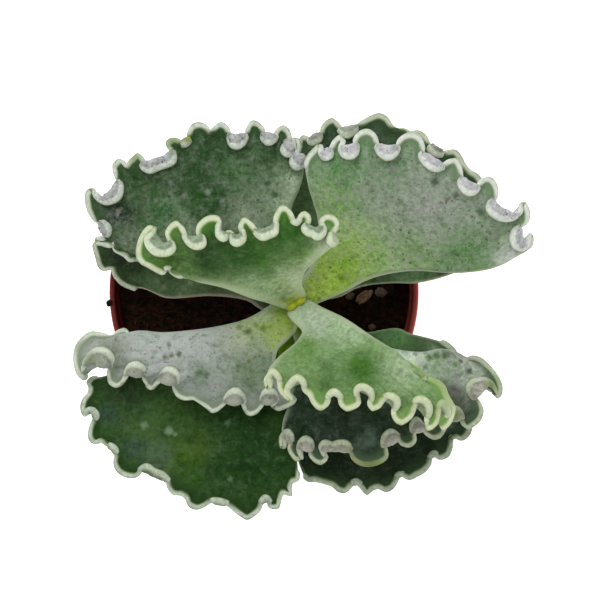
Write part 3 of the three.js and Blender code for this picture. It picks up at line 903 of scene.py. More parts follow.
# %% The silver pair
LEAVES["leaf_2_back_right"] = dict(
    slot="silver_leaf", toward=44, seat=77.5, heights=(92, 98, 90), arch=3, cup=2, bead=0.62, tuck=0.42,
    web=2.5,
    left=[(311, 265), (318, 223), (314, 205), (308, 185)],
    margin=[
        (305, 169), (309, 158), (314, 152), (320, 147), (321, 153), (325, 158), (330, 156), (332, 149),
        (335, 142), (340, 138), (343, 142), (341, 149), (344, 155), (350, 157), (355, 154), (357, 147),
        (356, 140), (360, 134), (368, 132), (374, 136), (376, 144), (380, 153), (387, 158), (394, 155),
        (398, 148), (401, 140), (407, 136), (414, 136), (420, 140), (422, 147), (421, 156), (426, 164),
        (434, 169), (443, 167), (449, 162), (455, 161), (459, 167), (460, 176), (461, 186), (467, 193),
        (474, 192), (479, 186), (484, 180), (490, 180), (495, 187), (495, 196), (490, 203), (489, 210),
        (495, 216), (504, 219), (512, 218), (520, 212), (523, 204), (527, 212), (526, 221), (519, 226),
        (514, 232), (512, 240), (516, 247), (523, 248), (528, 243), (530, 236), (531, 243), (527, 251),
    ],
    right=[(345, 292), (370, 279), (410, 271), (460, 273), (497, 267)],
)
PAINT["leaf_2_back_right"] = dict(
    base="84997a", bead="c6cdc2", white="dfe3da", fringe_and_shade="98a378", web=("dcdfd6", "c6c6c9"), crease="aeadb0",
    line="55754a", rim=("c2ccb4", 0.7), bloom=("9a9494", 0.4), tinge=("938d90", 0.42), grain=0.26,
    specks=0.8,
    areas=[
        (340, 172, 8, "67905a"), (425, 215, 12, "949e8e"), (416, 260, 6, "7d9a66"), (470, 256, 7, "5f8650"),
        (366, 246, 7, "93ae7c"), (334, 245, 6, "b2c890"), (338, 276, 10, "90b83a"), (316, 288, 7, "b0d056"),
        (512, 262, 3.5, "c0c7bf"), (330, 205, 5, "87a668"), (392, 165, 5, "6e8a66"),
    ],
    marks=[
        (302, 284, 0.7, "55700c"), (324, 280, 0.8, "5a780c"), (325, 289, 0.8, "5a7010"),
        (322, 297, 0.7, "5a7010"), (341, 278, 1.2, "5c8010"), (345, 210, 0.8, "5f8a2c"),
        (334, 214, 0.7, "5f8a34"), (368, 185, 0.8, "6a5f4c"), (372, 191, 0.7, "5a4f44"),
        (402, 198, 0.8, "56743c"), (404, 209, 0.8, "5a6c44"), (445, 202, 0.7, "5a3f3c"),
        (466, 232, 0.7, "4f4038"), (478, 275, 1.6, "6c9440"), (440, 172, 1.4, "3c5238"),
        (490, 205, 1.3, "40543a"), (464, 182, 1.2, "3c5038"),
    ],
)
LEAVES["leaf_2_left"] = dict(
    slot="silver_leaf", toward=212, seat=77.5, heights=(84, 82, 78), droop=0.8, arch=7, cup=-1, bead=0.62,
    tuck=0.24,
    left=[(297, 329), (289, 339), (277, 352), (278, 375)],
    margin=[
        (297, 399), (291, 403), (285, 406), (278, 408), (273, 405), (276, 398), (274, 392), (268, 390),
        (263, 394), (262, 402), (258, 410), (250, 413), (245, 410), (244, 402), (242, 395), (236, 390),
        (230, 393), (225, 400), (219, 408), (212, 410), (207, 406), (201, 401), (194, 397), (186, 398),
        (178, 394), (175, 387), (178, 379), (175, 371), (169, 369), (163, 372), (159, 380), (153, 387),
        (147, 385), (145, 378), (144, 369), (137, 364), (130, 366), (126, 374), (123, 382), (117, 385),
        (110, 381), (109, 374), (112, 366), (111, 356), (104, 350), (95, 351), (88, 358), (84, 366),
        (84, 373), (85, 378), (80, 374), (77, 366), (76, 356), (78, 347), (84, 339), (92, 334), (101, 335),
        (110, 338), (114, 337), (118, 333), (125, 331), (130, 335),
    ],
    right=[(266, 308), (245, 320), (228, 325), (200, 330), (165, 334)],
)
PAINT["leaf_2_left"] = dict(
    base="979f96", bead="c3cdbc", white="d8decd", fringe_and_shade="97a47c", web=("c9d0bc", "a8ae9e"), crease="7c836f",
    line="7a8a70", rim=("b0bbae", 0.8), rim_from=0.4, bloom=("a8a3a6", 0.4), tinge=("98939a", 0.35),
    grain=0.12, specks=0.6,
    areas=[
        (248, 372, 6.5, "647c56"), (160, 347, 13, "acb4ac"), (248, 328, 5, "a5b288"),
        (282, 316, 6, "93b436"), (263, 310, 3, "b8c89a"), (98, 342, 3.5, "8a9184"), (200, 388, 4, "828f82"),
        (95, 366, 3, "6c7c60"), (204, 370, 2.4, "84947c"), (286, 338, 4.5, "a6b858"),
    ],
    marks=[
        (241, 326, 1.1, "56701c"), (248, 332, 1.3, "42591a"), (256, 326, 1.1, "56701c"),
        (262, 331, 1.2, "4c6618"), (252, 338, 0.9, "4a5f28"), (270, 328, 1, "567018"),
        (277, 323, 0.9, "486018"), (166, 356, 1, "4a5642"), (172, 355, 0.9, "525e48"),
        (179, 354, 1, "4a5642"), (170, 345, 0.9, "55624a"), (207, 374, 1.2, "465e42"),
        (201, 371, 1, "4c6448"), (239, 366, 1.1, "506a48"), (214, 347, 0.8, "5c6858"),
    ],
    stains=[(94, 360, 2.4, "6c7d55"), (84, 350, 2, "94a084")],
)
print("leaves laid out so far:", len(LEAVES))

# %% [markdown]
# ### The third pair
#
# The third pair is dark green. The left leaf is mottled with grey and the right one is nearly black at the
# front, with a pale, scarred back. Where its margin is bruised, the bead is olive.

# %% The third pair
LEAVES["leaf_3_back_left"] = dict(
    slot="dark_leaf", toward=123, seat=71.5, heights=(84, 89, 87), arch=3, cup=2, bead=0.62, tuck=0.42,
    web=2.6,
    left=[(262, 290), (225, 282), (180, 273), (155, 266)],
    margin=[
        (139, 262), (135, 259), (130, 259), (126, 255), (121, 252), (116, 249), (114, 244), (110, 245),
        (104, 244), (98, 243), (97, 240), (103, 238), (108, 234), (109, 228), (104, 223), (97, 220),
        (91, 212), (88, 202), (88, 194), (92, 190), (97, 197), (105, 202), (113, 201), (119, 197),
        (121, 189), (119, 180), (116, 173), (115, 166), (121, 161), (127, 166), (132, 161), (138, 156),
        (142, 160), (143, 167), (150, 171), (158, 168), (167, 165), (173, 162), (174, 155), (171, 148),
        (168, 144), (173, 140), (179, 142), (184, 145), (189, 141), (190, 133), (193, 127), (200, 125),
        (206, 128), (209, 134), (214, 130), (220, 125), (226, 128), (229, 137), (232, 145), (237, 147),
        (243, 143), (247, 134), (251, 124), (257, 124), (262, 130), (263, 138), (268, 143), (274, 140),
        (277, 133), (281, 128), (287, 131), (289, 138), (285, 145), (283, 151), (288, 155), (293, 151),
        (293, 145), (294, 140), (298, 142), (298, 149), (294, 156), (292, 163), (296, 168), (302, 165),
        (304, 159),
    ],
    right=[(291, 262), (290, 235), (292, 208), (302, 182)],
)
PAINT["leaf_3_back_left"] = dict(
    base="3d5a34", bead="b0baa6", white="d8ddd2", fringe_and_shade="839066", web=("d6dad2", "b8bab8"), crease="969899",
    line="2b4625", rim=("98a98a", 1.2), bloom=("858d82", 0.4), tinge=("7c8878", 0.38), grain=0.33,
    specks=0.8,
    areas=[
        (208, 160, 9, "34522e"), (150, 190, 6, "46603c"), (248, 214, 6, "93a389"), (178, 217, 5, "8a9e80"),
        (288, 194, 6, "7b926c"), (130, 243, 3.5, "66765f"), (204, 203, 4, "2c5722"), (160, 207, 4, "3f6a3a"),
        (238, 172, 4, "587a50"), (104, 210, 3, "222e25"), (292, 181, 3.2, "a6b69a"),
        (284, 201, 3.2, "a2b096"), (262, 197, 4, "7b8f74"),
    ],
    marks=[
        (110, 206, 0.9, "8d8f84"), (118, 205, 0.8, "85887c"), (113, 213, 0.8, "868a7e"),
        (207, 190, 1, "8f9a8c"), (186, 197, 0.9, "87917f"), (222, 200, 0.9, "8d968a"),
        (172, 187, 0.9, "7e8878"), (268, 186, 1, "2f4a2a"), (275, 192, 1, "34502c"),
        (243, 178, 1.2, "73806e"),
    ],
    stains=[(187, 138, 1.6, "8a9444"), (174, 143, 2.2, "8a9a6c"), (134, 157, 1.8, "94a07c")],
)
LEAVES["leaf_3_front_right"] = dict(
    slot="dark_leaf", toward=-62, seat=71.5, heights=(81, 84, 80), arch=3, cup=1.5, bead=0.55, tuck=0.35,
    web=1.2,
    left=[(345, 328), (384, 346), (422, 352), (440, 349)],
    margin=[
        (452, 353), (460, 359), (466, 361), (472, 358), (480, 360), (487, 366), (493, 373), (498, 381),
        (500, 389), (498, 396), (495, 389), (491, 383), (485, 380), (477, 380), (470, 383), (468, 389),
        (472, 396), (478, 403), (481, 410), (479, 418), (473, 424), (467, 427), (463, 422), (461, 414),
        (456, 408), (450, 411), (448, 419), (444, 428), (440, 435), (433, 437), (427, 433), (422, 425),
        (416, 419), (412, 425), (413, 434), (414, 441), (408, 445), (402, 443), (398, 436), (391, 431),
        (385, 435), (383, 443), (385, 450), (386, 456), (380, 461), (370, 464), (361, 463), (354, 458),
        (351, 450), (347, 443), (340, 442), (332, 444), (325, 442), (321, 446), (323, 452), (326, 458),
        (321, 462), (315, 460), (311, 454), (312, 446), (310, 440), (305, 438), (300, 443), (299, 450),
        (301, 457), (297, 459), (292, 454), (290, 448), (292, 441), (291, 434), (287, 431), (285, 436),
        (285, 443), (283, 447), (281, 441), (282, 432),
    ],
    right=[(296, 350), (291, 380), (288, 405), (283, 420)],
)
PAINT["leaf_3_front_right"] = dict(
    base="2a3c2b", bead="a3ae94", white="c6cdb6", fringe_and_shade="7d8c56", web=("bac0aa", "b2aea2"), crease="7a7e70",
    line="4a5e44", rim=("a9b9a6", 1.0), bloom=("717d70", 0.3), tinge=("5f6c60", 0.3), grain=0.25, specks=0.4,
    areas=[
        (403, 351, 9, "d6e2d0"), (452, 372, 6, "98a590"), (476, 400, 3.8, "62605a"),
        (432, 368, 3.5, "93a88a"), (300, 424, 3, "203720"), (374, 452, 2.2, "56665a"),
        (345, 414, 4, "2e3a2a"), (297, 336, 3.5, "86b412"), (487, 374, 4, "b4bcb0"), (472, 371, 3, "a4b09c"),
    ],
    marks=[
        (437, 355, 1.1, "3f5a2a"), (425, 352, 0.9, "4a5a40"), (404, 352, 0.9, "66785c"),
        (415, 354, 0.9, "4d5c3c"), (430, 357, 1.1, "426426"), (445, 355, 1.1, "3c5424"),
        (452, 367, 0.9, "5c7a3c"), (460, 361, 0.8, "3c4a34"), (476, 368, 1.1, "44483a"),
        (425, 367, 0.8, "5c6e54"),
    ],
    stains=[
        (368, 462, 4.5, "75854c"), (455, 416, 2, "76865c"), (345, 460, 2.5, "90996f"),
        (492, 383, 2, "8a9a6a"), (475, 362, 2.4, "a9a79c"),
    ],
)
print("leaves laid out so far:", len(LEAVES))

# %% [markdown]
# ### The fourth pair
#
# The fourth pair is long and dark. Of its right leaf only the margin and the foot can be seen from above.
# The left leaf is the deepest green, with a few pale dots.

# %% The fourth pair
LEAVES["leaf_4_back_right"] = dict(
    slot="dark_leaf", toward=50, seat=65.5, heights=(78, 82, 76), arch=2, cup=1.5, bead=0.62, tuck=0.45,
    left=[(291, 265), (286, 235), (289, 195), (297, 160)],
    margin=[
        (300, 145), (303, 138), (307, 139), (312, 143), (318, 141), (322, 134), (324, 127), (329, 122),
        (334, 121), (338, 126), (341, 132), (347, 136), (353, 133), (358, 127), (365, 122), (372, 118),
        (379, 116), (386, 119), (391, 127), (397, 131), (404, 131), (410, 134), (417, 133), (424, 137),
        (428, 145), (432, 152), (439, 155), (447, 153), (454, 152), (459, 157), (463, 165), (469, 172),
        (476, 176), (480, 183), (478, 191), (482, 197), (490, 202), (491, 210), (485, 216), (486, 224),
        (493, 230), (492, 239), (484, 243), (482, 251), (484, 258),
    ],
    right=[(340, 297), (355, 289), (370, 285), (395, 283), (418, 283), (452, 274)],
)
PAINT["leaf_4_back_right"] = dict(
    base="40583a", bead="a9b29a", white="c9d0bc", fringe_and_shade="7f8b60", web=("ccd0c2", "b0b4a8"), crease="7c8274",
    line="2c4526", rim=("bcc3a0", 0.6), bloom=("6f7d66", 0.22), tinge=("6a7464", 0.3), grain=0.25,
    specks=0.4,
    areas=[
        (330, 132, 4, "2a4230"), (300, 203, 9, "5c7a4e"), (343, 289, 5, "5f7c34"), (412, 277, 5, "6f8f62"),
        (375, 128, 3.5, "3f4d3d"),
    ],
    marks=[],
)
LEAVES["leaf_4_front_left"] = dict(
    slot="dark_leaf", toward=237, seat=65.5, heights=(75, 76, 72), arch=3, cup=1.5, bead=0.6, tuck=0.4,
    web=0.6,
    left=[(299, 345), (294, 395), (296, 440)],
    margin=[
        (298, 470), (296, 479), (291, 481), (289, 488), (290, 494), (285, 492), (281, 493), (279, 499),
        (277, 506), (271, 506), (269, 500), (265, 497), (261, 502), (258, 509), (253, 514), (247, 517),
        (240, 513), (233, 507), (225, 502), (217, 500), (209, 501), (203, 505), (197, 507), (190, 504),
        (187, 497), (181, 493), (174, 492), (170, 487), (168, 480), (163, 474), (155, 471), (147, 466),
        (141, 469), (136, 475), (128, 475), (120, 471), (116, 464), (117, 456), (115, 448), (108, 444),
        (101, 440), (95, 442), (91, 438), (91, 430), (94, 422), (97, 415), (93, 410), (88, 410), (85, 414),
        (83, 407), (85, 400), (90, 394), (91, 388), (89, 384), (92, 379), (99, 377),
    ],
    right=[(265, 322), (230, 340), (180, 352), (140, 364), (115, 373)],
)
PAINT["leaf_4_front_left"] = dict(
    base="2c4a1d", bead="9fac92", white="ccd6c6", fringe_and_shade="6f8250", web=("9fac92", "7e8b72"), crease="5c6a50",
    line="1d3a14", rim=("6d7f57", 0.5), bloom=("56694c", 0.16), tinge=("4c6446", 0.4), grain=0.28,
    specks=0.3,
    areas=[
        (255, 447, 11, "14390a"), (150, 435, 9, "3c5a2c"), (130, 392, 4.5, "23391a"),
        (160, 462, 3.5, "4f654a"), (188, 452, 4.5, "3e5a14"), (192, 474, 3, "2c5216"),
        (180, 410, 6, "2b4a16"), (283, 350, 4, "86b412"), (99, 420, 2.4, "30483a"),
        (122, 466, 2.4, "364c3c"), (282, 419, 3, "305316"), (222, 392, 6, "183a0c"),
    ],
    marks=[
        (143, 427, 1.2, "6f8466"), (172, 427, 1.3, "74896c"), (228, 422, 1, "5f7858"),
        (176, 432, 0.8, "6f8466"), (230, 480, 0.8, "5c7a56"),
    ],
)
print("leaves laid out so far:", len(LEAVES))

# %% [markdown]
# ### The oldest pair
#
# The lowest pair spreads just over the pot's rim. It is almost covered, and its margins are the smoothest.

# %% The oldest pair
LEAVES["leaf_5_left"] = dict(
    slot="dark_leaf", toward=150, seat=60, heights=(66, 68, 70), arch=1, cup=1.5, bead=0.55, tuck=0.4,
    web=0.8,
    left=[(262, 310), (248, 301), (213, 296), (166, 298), (147, 290)],
    margin=[
        (137, 289), (128, 286), (121, 282), (116, 276), (112, 268), (108, 268), (104, 269), (100, 265),
        (98, 258), (96, 251), (95, 245), (100, 240), (107, 235), (112, 228), (114, 221), (117, 213),
        (122, 206), (128, 200), (134, 195), (142, 192), (150, 189), (158, 190),
    ],
    right=[(280, 280), (248, 250), (205, 216)],
)
PAINT["leaf_5_left"] = dict(
    base="384f2e", bead="a3aa94", white="ccd2c2", fringe_and_shade="7c8760", web=("939a86", "6a7360"), crease="4c5642",
    line="2a3f22", rim=("c0b4a0", 0.45), bloom=("66735d", 0.35), tinge=("5c6c56", 0.35), grain=0.25,
    specks=0.4,
    # The areas at plan (190, 287) and (160, 285) are painted light, where the leaves above shade this one.
    areas=[
        (108, 256, 4, "202a1c"), (190, 287, 5.5, "728f62"), (160, 285, 4, "5c7850"), (235, 294, 5, "768866"),
    ],
    marks=[
        (192, 283, 0.9, "9aa88c"), (187, 289, 0.8, "93a286"), (181, 294, 0.7, "8f9e82"),
        (157, 281, 1, "7c8c70"), (163, 288, 0.9, "85927a"),
    ],
)
LEAVES["leaf_5_front_right"] = dict(
    slot="dark_leaf", toward=-40, seat=60, heights=(66, 68, 67), arch=1, cup=1.5, bead=0.65, tuck=0.4,
    web=0.6,
    left=[(335, 320), (366, 332), (380, 330), (398, 328), (409, 333), (425, 337)],
    margin=[
        (440, 341), (448, 346), (454, 353), (453, 361), (459, 367), (466, 372), (466, 381), (462, 388),
        (466, 396), (472, 403), (470, 411), (466, 417), (469, 424), (468, 432), (462, 438), (456, 436),
        (451, 438), (450, 446), (447, 454), (440, 457), (434, 453), (430, 457), (428, 464), (423, 470),
        (416, 474), (409, 477), (403, 474), (398, 475), (395, 481), (391, 487), (385, 489), (378, 486),
        (372, 488), (367, 492), (362, 486), (356, 481), (350, 485), (345, 490), (339, 489), (333, 484),
        (324, 481), (315, 479), (309, 479), (303, 474),
    ],
    right=[(297, 345), (291, 385), (290, 425), (297, 458)],
)
PAINT["leaf_5_front_right"] = dict(
    base="1e2d1a", bead="93a084", white="bcc8b4", fringe_and_shade="6b7b4c", web=("8a967c", "606c56"), crease="444f3a",
    line="2c4426", rim=("7d8f70", 0.4), bloom=("56634f", 0.3), tinge=("4c5a4a", 0.3), grain=0.25, specks=0.3,
    areas=[
        (395, 336, 5, "5d8550"), (435, 349, 3.5, "6d8460"), (456, 425, 3.5, "7c8a78"),
        (297, 345, 4, "86b412"),
    ],
    marks=[],
)
print("leaves laid out so far:", len(LEAVES))

# %% [markdown]
# ### The margin's lines
#
# How far the bead lies outward of the middle line also sets its height. Where it turns outward it hangs a
# little, and where it turns inward it stands up over the blade. The calm line is averaged over a longer
# stretch. The blade follows it up to the last part, so that the waves of the margin don't run on down to
# the stem.

# %% The bead and the middle line
COLUMNS = 340
BLEND_ARC = 25
CALM_ARC = 70
RISE = 1.15
DIP = 0.45
SOFT_REACH = 0.3


def margin_lines(leaf):
    """The bead, the line that it winds about, and how far outward it lies, for each column of the grid."""
    trace = curve_through(leaf["margin"], np.linspace(0, 1, COLUMNS))
    spacing = steps_between(trace).mean()
    middle = smoothed(trace, BLEND_ARC / spacing)
    share = shares_along(middle)
    low_left, tip, low_right = leaf["heights"]
    crest = (tip - (low_left + low_right) / 2) * 4 * share * (1 - share)
    z = low_left + (low_right - low_left) * share + crest
    middle = np.column_stack([middle, z])
    calm = np.column_stack([smoothed(trace, CALM_ARC / spacing), z])
    centre = place_of(middle)
    along = np.gradient(centre[:, :2], axis=0)
    along /= np.linalg.norm(along, axis=1)[:, None]
    out = np.column_stack([-along[:, 1], along[:, 0], np.zeros(COLUMNS)])
    reach = ((place_of(np.column_stack([trace, z])) - centre) * out).sum(1)
    swing = np.sqrt(2 * smoothed(reach**2, BLEND_ARC / spacing).clip(0)) + 0.05
    soft = np.sqrt(reach**2 + SOFT_REACH**2) - SOFT_REACH
    lift = -reach * (RISE + DIP) / 2 + soft * (RISE - DIP) / 2
    lift -= leaf.get("droop", 0) * reach
    bead = place_of(np.column_stack([trace, z + lift]))
    return SimpleNamespace(
        middle=middle, calm=calm, centre=centre, bead=bead, out=out,
        reach=reach, swing=swing, lift=lift, share=share, spacing=spacing,
    )

# %% [markdown]
# ### The smooth blade
#
# A Coons patch fills a frame of four lines. Here they are the seat, the two sides and the middle line, and
# the patch is worked out in plan with its heights. The seat is a short straight line on the stem, and the
# top pair sits on the stem's tip instead. A power of the share along keeps the blade narrow at first and
# lets it flare only towards the margin, as a real leaf's does.

# %% The blade as a sheet
SEAT_WIDTH = 5.4
BASE_THICKNESS = 3
TIP_SPLIT = 1.8
BITE = 0.5
HEM = 2.8
CALM_SHARE = 0.14
FLARE = 2.2
SIDE_STEPS = 81


def seat_of(leaf):
    """The middle of the leaf's seat, and the seat's left and right corner in plan."""
    toward = math.radians(leaf["toward"])
    ahead = np.array([math.cos(toward), math.sin(toward), 0])
    leftward = np.array([-ahead[1], ahead[0], 0])
    on_tip = leaf["seat"] > STEM_TIP[2]
    radius = TIP_SPLIT / 2 if on_tip else stem_radius(leaf["seat"] - BASE_THICKNESS / 2) - BITE
    seat = stem_at(leaf["seat"]) + ahead * radius
    half = leftward * SEAT_WIDTH / 2
    return seat, plan_of(seat + half), plan_of(seat - half)


def side_line(corner, outline, end, arch, shares):
    """A leaf's smooth side in plan, from its seat corner to its margin, with heights as the third number."""
    flat = np.vstack([corner[:2], np.asarray(outline, float), end[:2]])
    v = shares_along(flat)[:, None]
    z = corner[2] + (end[2] - corner[2]) * v + arch * np.sin(np.pi * v)
    return curve_through(np.hstack([flat, z]), shares)


def point_on(line, known, shares):
    return np.stack([np.interp(shares, known, line[:, i]) for i in range(3)], -1)


def blade_sheet(leaf, margin):
    """A function that lays the smooth blade, the share along at which its hem starts, and its lengths."""
    seat, left_corner, right_corner = seat_of(leaf)
    lengths = np.linalg.norm(margin.centre - seat, axis=1)
    hem_start = 1 - HEM / lengths.mean()
    steps = np.linspace(0, 1, SIDE_STEPS)
    left = side_line(left_corner, leaf["left"], margin.middle[0], leaf["arch"], steps)
    right = side_line(right_corner, leaf["right"], margin.middle[-1], leaf["arch"], steps)

    def sheet(across, along):
        """Real places at the shares across and along, which are arrays of one shape or plain numbers."""
        across, along = np.broadcast_arrays(across, along)
        a, b = across[..., None], along[..., None]
        edge = point_on(margin.calm, margin.share, across)
        stir = smooth_step((b - hem_start + CALM_SHARE) / CALM_SHARE)
        edge = edge + (point_on(margin.middle, margin.share, across) - edge) * stir
        ends = margin.middle[0] * (1 - a) + margin.middle[-1] * a
        sides = point_on(left, steps, along) * (1 - a) + point_on(right, steps, along) * a
        return place_of(sides + (edge - ends) * b**FLARE)

    return sheet, hem_start, lengths

# %% [markdown]
# The sheet's points are then laid in rows from the seat outward. In each row the first and last few stand
# close together, so that the smooth sides can be made round. Near the margin the others stand where the
# bead's own points are, and near the seat they are spread evenly.

# %% The blade's rows
BLADE_ROWS = 26
ROW_POWER = 0.9
SIDE_COLUMNS = 6
ROUND_SIDE = 1.1
SCAN_STEPS = 241
FLUTE_REACH = 4
FLUTE_SHARE = 0.2


def cup_depth(leaf, share, along):
    return leaf["cup"] * 4 * share * (1 - share) * np.sin(np.pi * along)


def blade_rows(leaf, margin, sheet, hem_start, lengths):
    """The blade's points row by row, with each one's share across, distance from a side and share along."""
    near_side = ROUND_SIDE * (1 - np.cos(np.linspace(0, np.pi / 2, SIDE_COLUMNS)))
    inner = slice(SIDE_COLUMNS - 1, COLUMNS - SIDE_COLUMNS + 1)
    natural = margin.share[inner]
    natural = (natural - natural[0]) / (natural[-1] - natural[0])
    even = np.linspace(0, 1, len(natural))
    scan = np.linspace(0, 1, SCAN_STEPS)
    along = hem_start * np.linspace(0, 1, BLADE_ROWS) ** ROW_POWER
    across = np.empty((BLADE_ROWS, COLUMNS))
    side = np.empty_like(across)
    share = np.empty_like(across)
    for row, v in enumerate(along):
        run = np.concatenate([[0], np.cumsum(steps_between(sheet(scan, v)))])
        total = run[-1]
        spread = np.interp(natural, scan, run / total)
        spread = even + (spread - even) * smooth_step(v / hem_start)
        from_left = np.empty(COLUMNS)
        from_left[:SIDE_COLUMNS] = near_side
        from_left[-SIDE_COLUMNS:] = total - near_side[::-1]
        from_left[inner] = ROUND_SIDE + (total - 2 * ROUND_SIDE) * spread
        across[row] = np.interp(from_left, run, scan)
        side[row] = np.minimum(from_left, total - from_left)
        share[row] = from_left / total
    place = sheet(across, along[:, None])
    place[..., 2] -= cup_depth(leaf, share, along[:, None])
    fade = smooth_step(1 - (hem_start - along) * lengths.mean() / FLUTE_REACH)
    place[..., 2] += FLUTE_SHARE * fade[:, None] * margin.lift
    return SimpleNamespace(place=place, across=across, side=side, share=share, along=along)

# %% [markdown]
# ### The folded hem
#
# Each column ends in one cubic Bezier curve. Its first handle goes on as the blade does, and its second
# sets the way in which it arrives at the bead: a little downward at an outward turn, and nearly backward at
# an inward one. The middle of a cubic takes an eighth from each end and three eighths from each handle, so
# from where the fold's outermost point should be one can work out where both handles have to be.

# %% The hem's curves
FOLD_ARC = 3
OUT_ANGLE = math.radians(12)
IN_ANGLE = math.radians(158)
USUAL_WEB = 2.2
SLOPE_STEP = 0.01
LEAST_SLOPE = 0.5
LEAST_RUN = 0.3
LEAST_BACK = 0.8
HEM_STEPS = 25


def hem_curves(leaf, margin, blade, sheet, hem_start):
    """A curve for each column, from the blade to the bead's outer edge, and how far each is folded inward."""
    arc = FOLD_ARC / margin.spacing
    start, across, share = blade.place[-1], blade.across[-1], blade.share[-1]
    before = hem_start - SLOPE_STEP
    slope = sheet(across, hem_start) - sheet(across, before)
    slope[:, 2] += cup_depth(leaf, share, before) - cup_depth(leaf, share, hem_start)
    slope /= np.linalg.norm(slope, axis=1)[:, None]

    inward = smoothed(smooth_step(0.5 - 0.5 * margin.reach / margin.swing), arc)[:, None]
    start_reach = ((start - margin.centre) * margin.out).sum(1)
    middle = (1 - leaf["tuck"]) * margin.swing + leaf["tuck"] * margin.reach - leaf["bead"]
    handle = (middle - start_reach / 8 - margin.reach / 8) / 0.75
    handle = np.maximum(handle, margin.reach + leaf.get("web", USUAL_WEB))
    outward = np.maximum((slope * margin.out).sum(1), LEAST_SLOPE)
    run = ((handle - start_reach) / outward).clip(LEAST_RUN)[:, None]
    back = (handle - margin.reach).clip(LEAST_BACK)[:, None]
    arrive = OUT_ANGLE + (IN_ANGLE - OUT_ANGLE) * inward
    onward = margin.out * np.cos(arrive) - np.array([0, 0, 1]) * np.sin(arrive)
    third = np.linalg.norm(margin.bead - start, axis=1)[:, None] / 3
    k1 = smoothed(start + slope * (third * (1 - inward) + run * inward), arc)
    k2 = smoothed(margin.bead - onward * (third * (1 - inward) + back * inward), arc)

    t = np.linspace(0, 1, HEM_STEPS)[:, None, None]
    curve = (1 - t) ** 3 * start + 3 * (1 - t) ** 2 * t * k1 + 3 * (1 - t) * t**2 * k2 + t**3 * margin.bead
    return np.concatenate([curve, (margin.bead + onward * leaf["bead"])[None]]), inward

# %% The hem's rows
HEM_ROWS = 9
NECK_ROWS = (2.9, 2.2, 1.55)
BEAD_TURN_ROWS = 6
NEAR_SHARE = 0.75


def hem_rows(curves, bead):
    """Points along each curve, their distance from the bead's outer edge, and the curves' lengths."""
    steps = np.linalg.norm(np.diff(curves, axis=0), axis=2)
    run = np.concatenate([np.zeros((1, COLUMNS)), np.cumsum(steps, 0)])
    bead_turn = np.linspace(np.pi / 2, 0, BEAD_TURN_ROWS)
    close = np.concatenate([NECK_ROWS, 1 - np.cos(bead_turn)]) * bead
    places, edges = [], []
    for c in range(COLUMNS):
        total = run[-1, c]
        near = close * min(1, NEAR_SHARE * total / close[0])
        far = np.linspace(total, near[0], HEM_ROWS + 1)[1:-1]
        edge = np.concatenate([far, near])
        places.append(point_on(curves[:, c], run[:, c], total - edge))
        edges.append(edge)
    return np.stack(places, 1), np.stack(edges, 1), run[-1]

# %% [markdown]
# ### Thickness
#
# Half the thickness is a half circle over the bead, then a slight neck, and then it grows to the leaf's
# flesh, which is thickest at the seat. At the smooth sides it falls to nothing as a quarter circle does.
# The whole grid also keeps a few numbers at each point, and the skins are painted by them.

# %% The whole grid
FLESH = 1.0
SEAT_FLESH = 0.45
FLESH_GROWTH = 5
NECK_DEPTH = 0.26
NECK_LENGTH = 1.3
NECK_END = 2.3
FLESHY_SIDE = 2.6


def half_thickness(bead, edge, side, along, hem_start):
    round_bead = np.sqrt((bead**2 - (bead - np.minimum(edge, bead)) ** 2).clip(0))
    neck = bead * (1 - NECK_DEPTH * smooth_step((edge - bead) / (NECK_LENGTH * bead)))
    flesh = FLESH + SEAT_FLESH * (1 - along[:, None]) ** 2
    half = neck + (flesh - neck) * smooth_step((edge - NECK_END * bead) / FLESH_GROWTH)
    half = np.where(edge < bead, round_bead, half)
    wide = ROUND_SIDE + (FLESHY_SIDE - ROUND_SIDE) * (1 - smooth_step(along / hem_start))[:, None]
    return half * np.sqrt(1 - (1 - np.minimum(side / wide, 1)) ** 2)


def leaf_grid(leaf):
    """The leaf's middle sheet: places and half thickness in mm, and the numbers kept for its skin."""
    margin = margin_lines(leaf)
    sheet, hem_start, lengths = blade_sheet(leaf, margin)
    blade = blade_rows(leaf, margin, sheet, hem_start, lengths)
    curves, inward = hem_curves(leaf, margin, blade, sheet, hem_start)
    hem, hem_edge, hem_lengths = hem_rows(curves, leaf["bead"])
    place = np.concatenate([blade.place, hem])
    edge = np.concatenate([hem_lengths + (hem_start - blade.along)[:, None] * lengths, hem_edge])
    side = np.concatenate([blade.side, np.repeat(blade.side[-1:], len(hem), 0)])
    hem_along = hem_start + (1 - hem_start) * (1 - hem_edge[:, 0] / hem_edge[0, 0])
    along = np.concatenate([blade.along, hem_along])
    half = half_thickness(leaf["bead"], edge, side, along, hem_start)
    told = {
        "edge_mm": edge,
        "side_mm": side,
        "along": np.repeat(along[:, None], COLUMNS, 1),
        "inward": np.repeat(inward.T, len(place), 0),
    }
    return place, half, told

# %% [markdown]
# ### From grid to leaf
#
# The primitive grid has as many points as the rule has places, row by row in the same order, so its points
# can simply be moved there. Solidify reads the thickness from the vertex group and puts the second material
# on the underside. At the sides and along the bead's edge the thickness is nothing, so the doubled points
# are merged.

# %% Grid to leaf
MERGE_DISTANCE = 4e-6


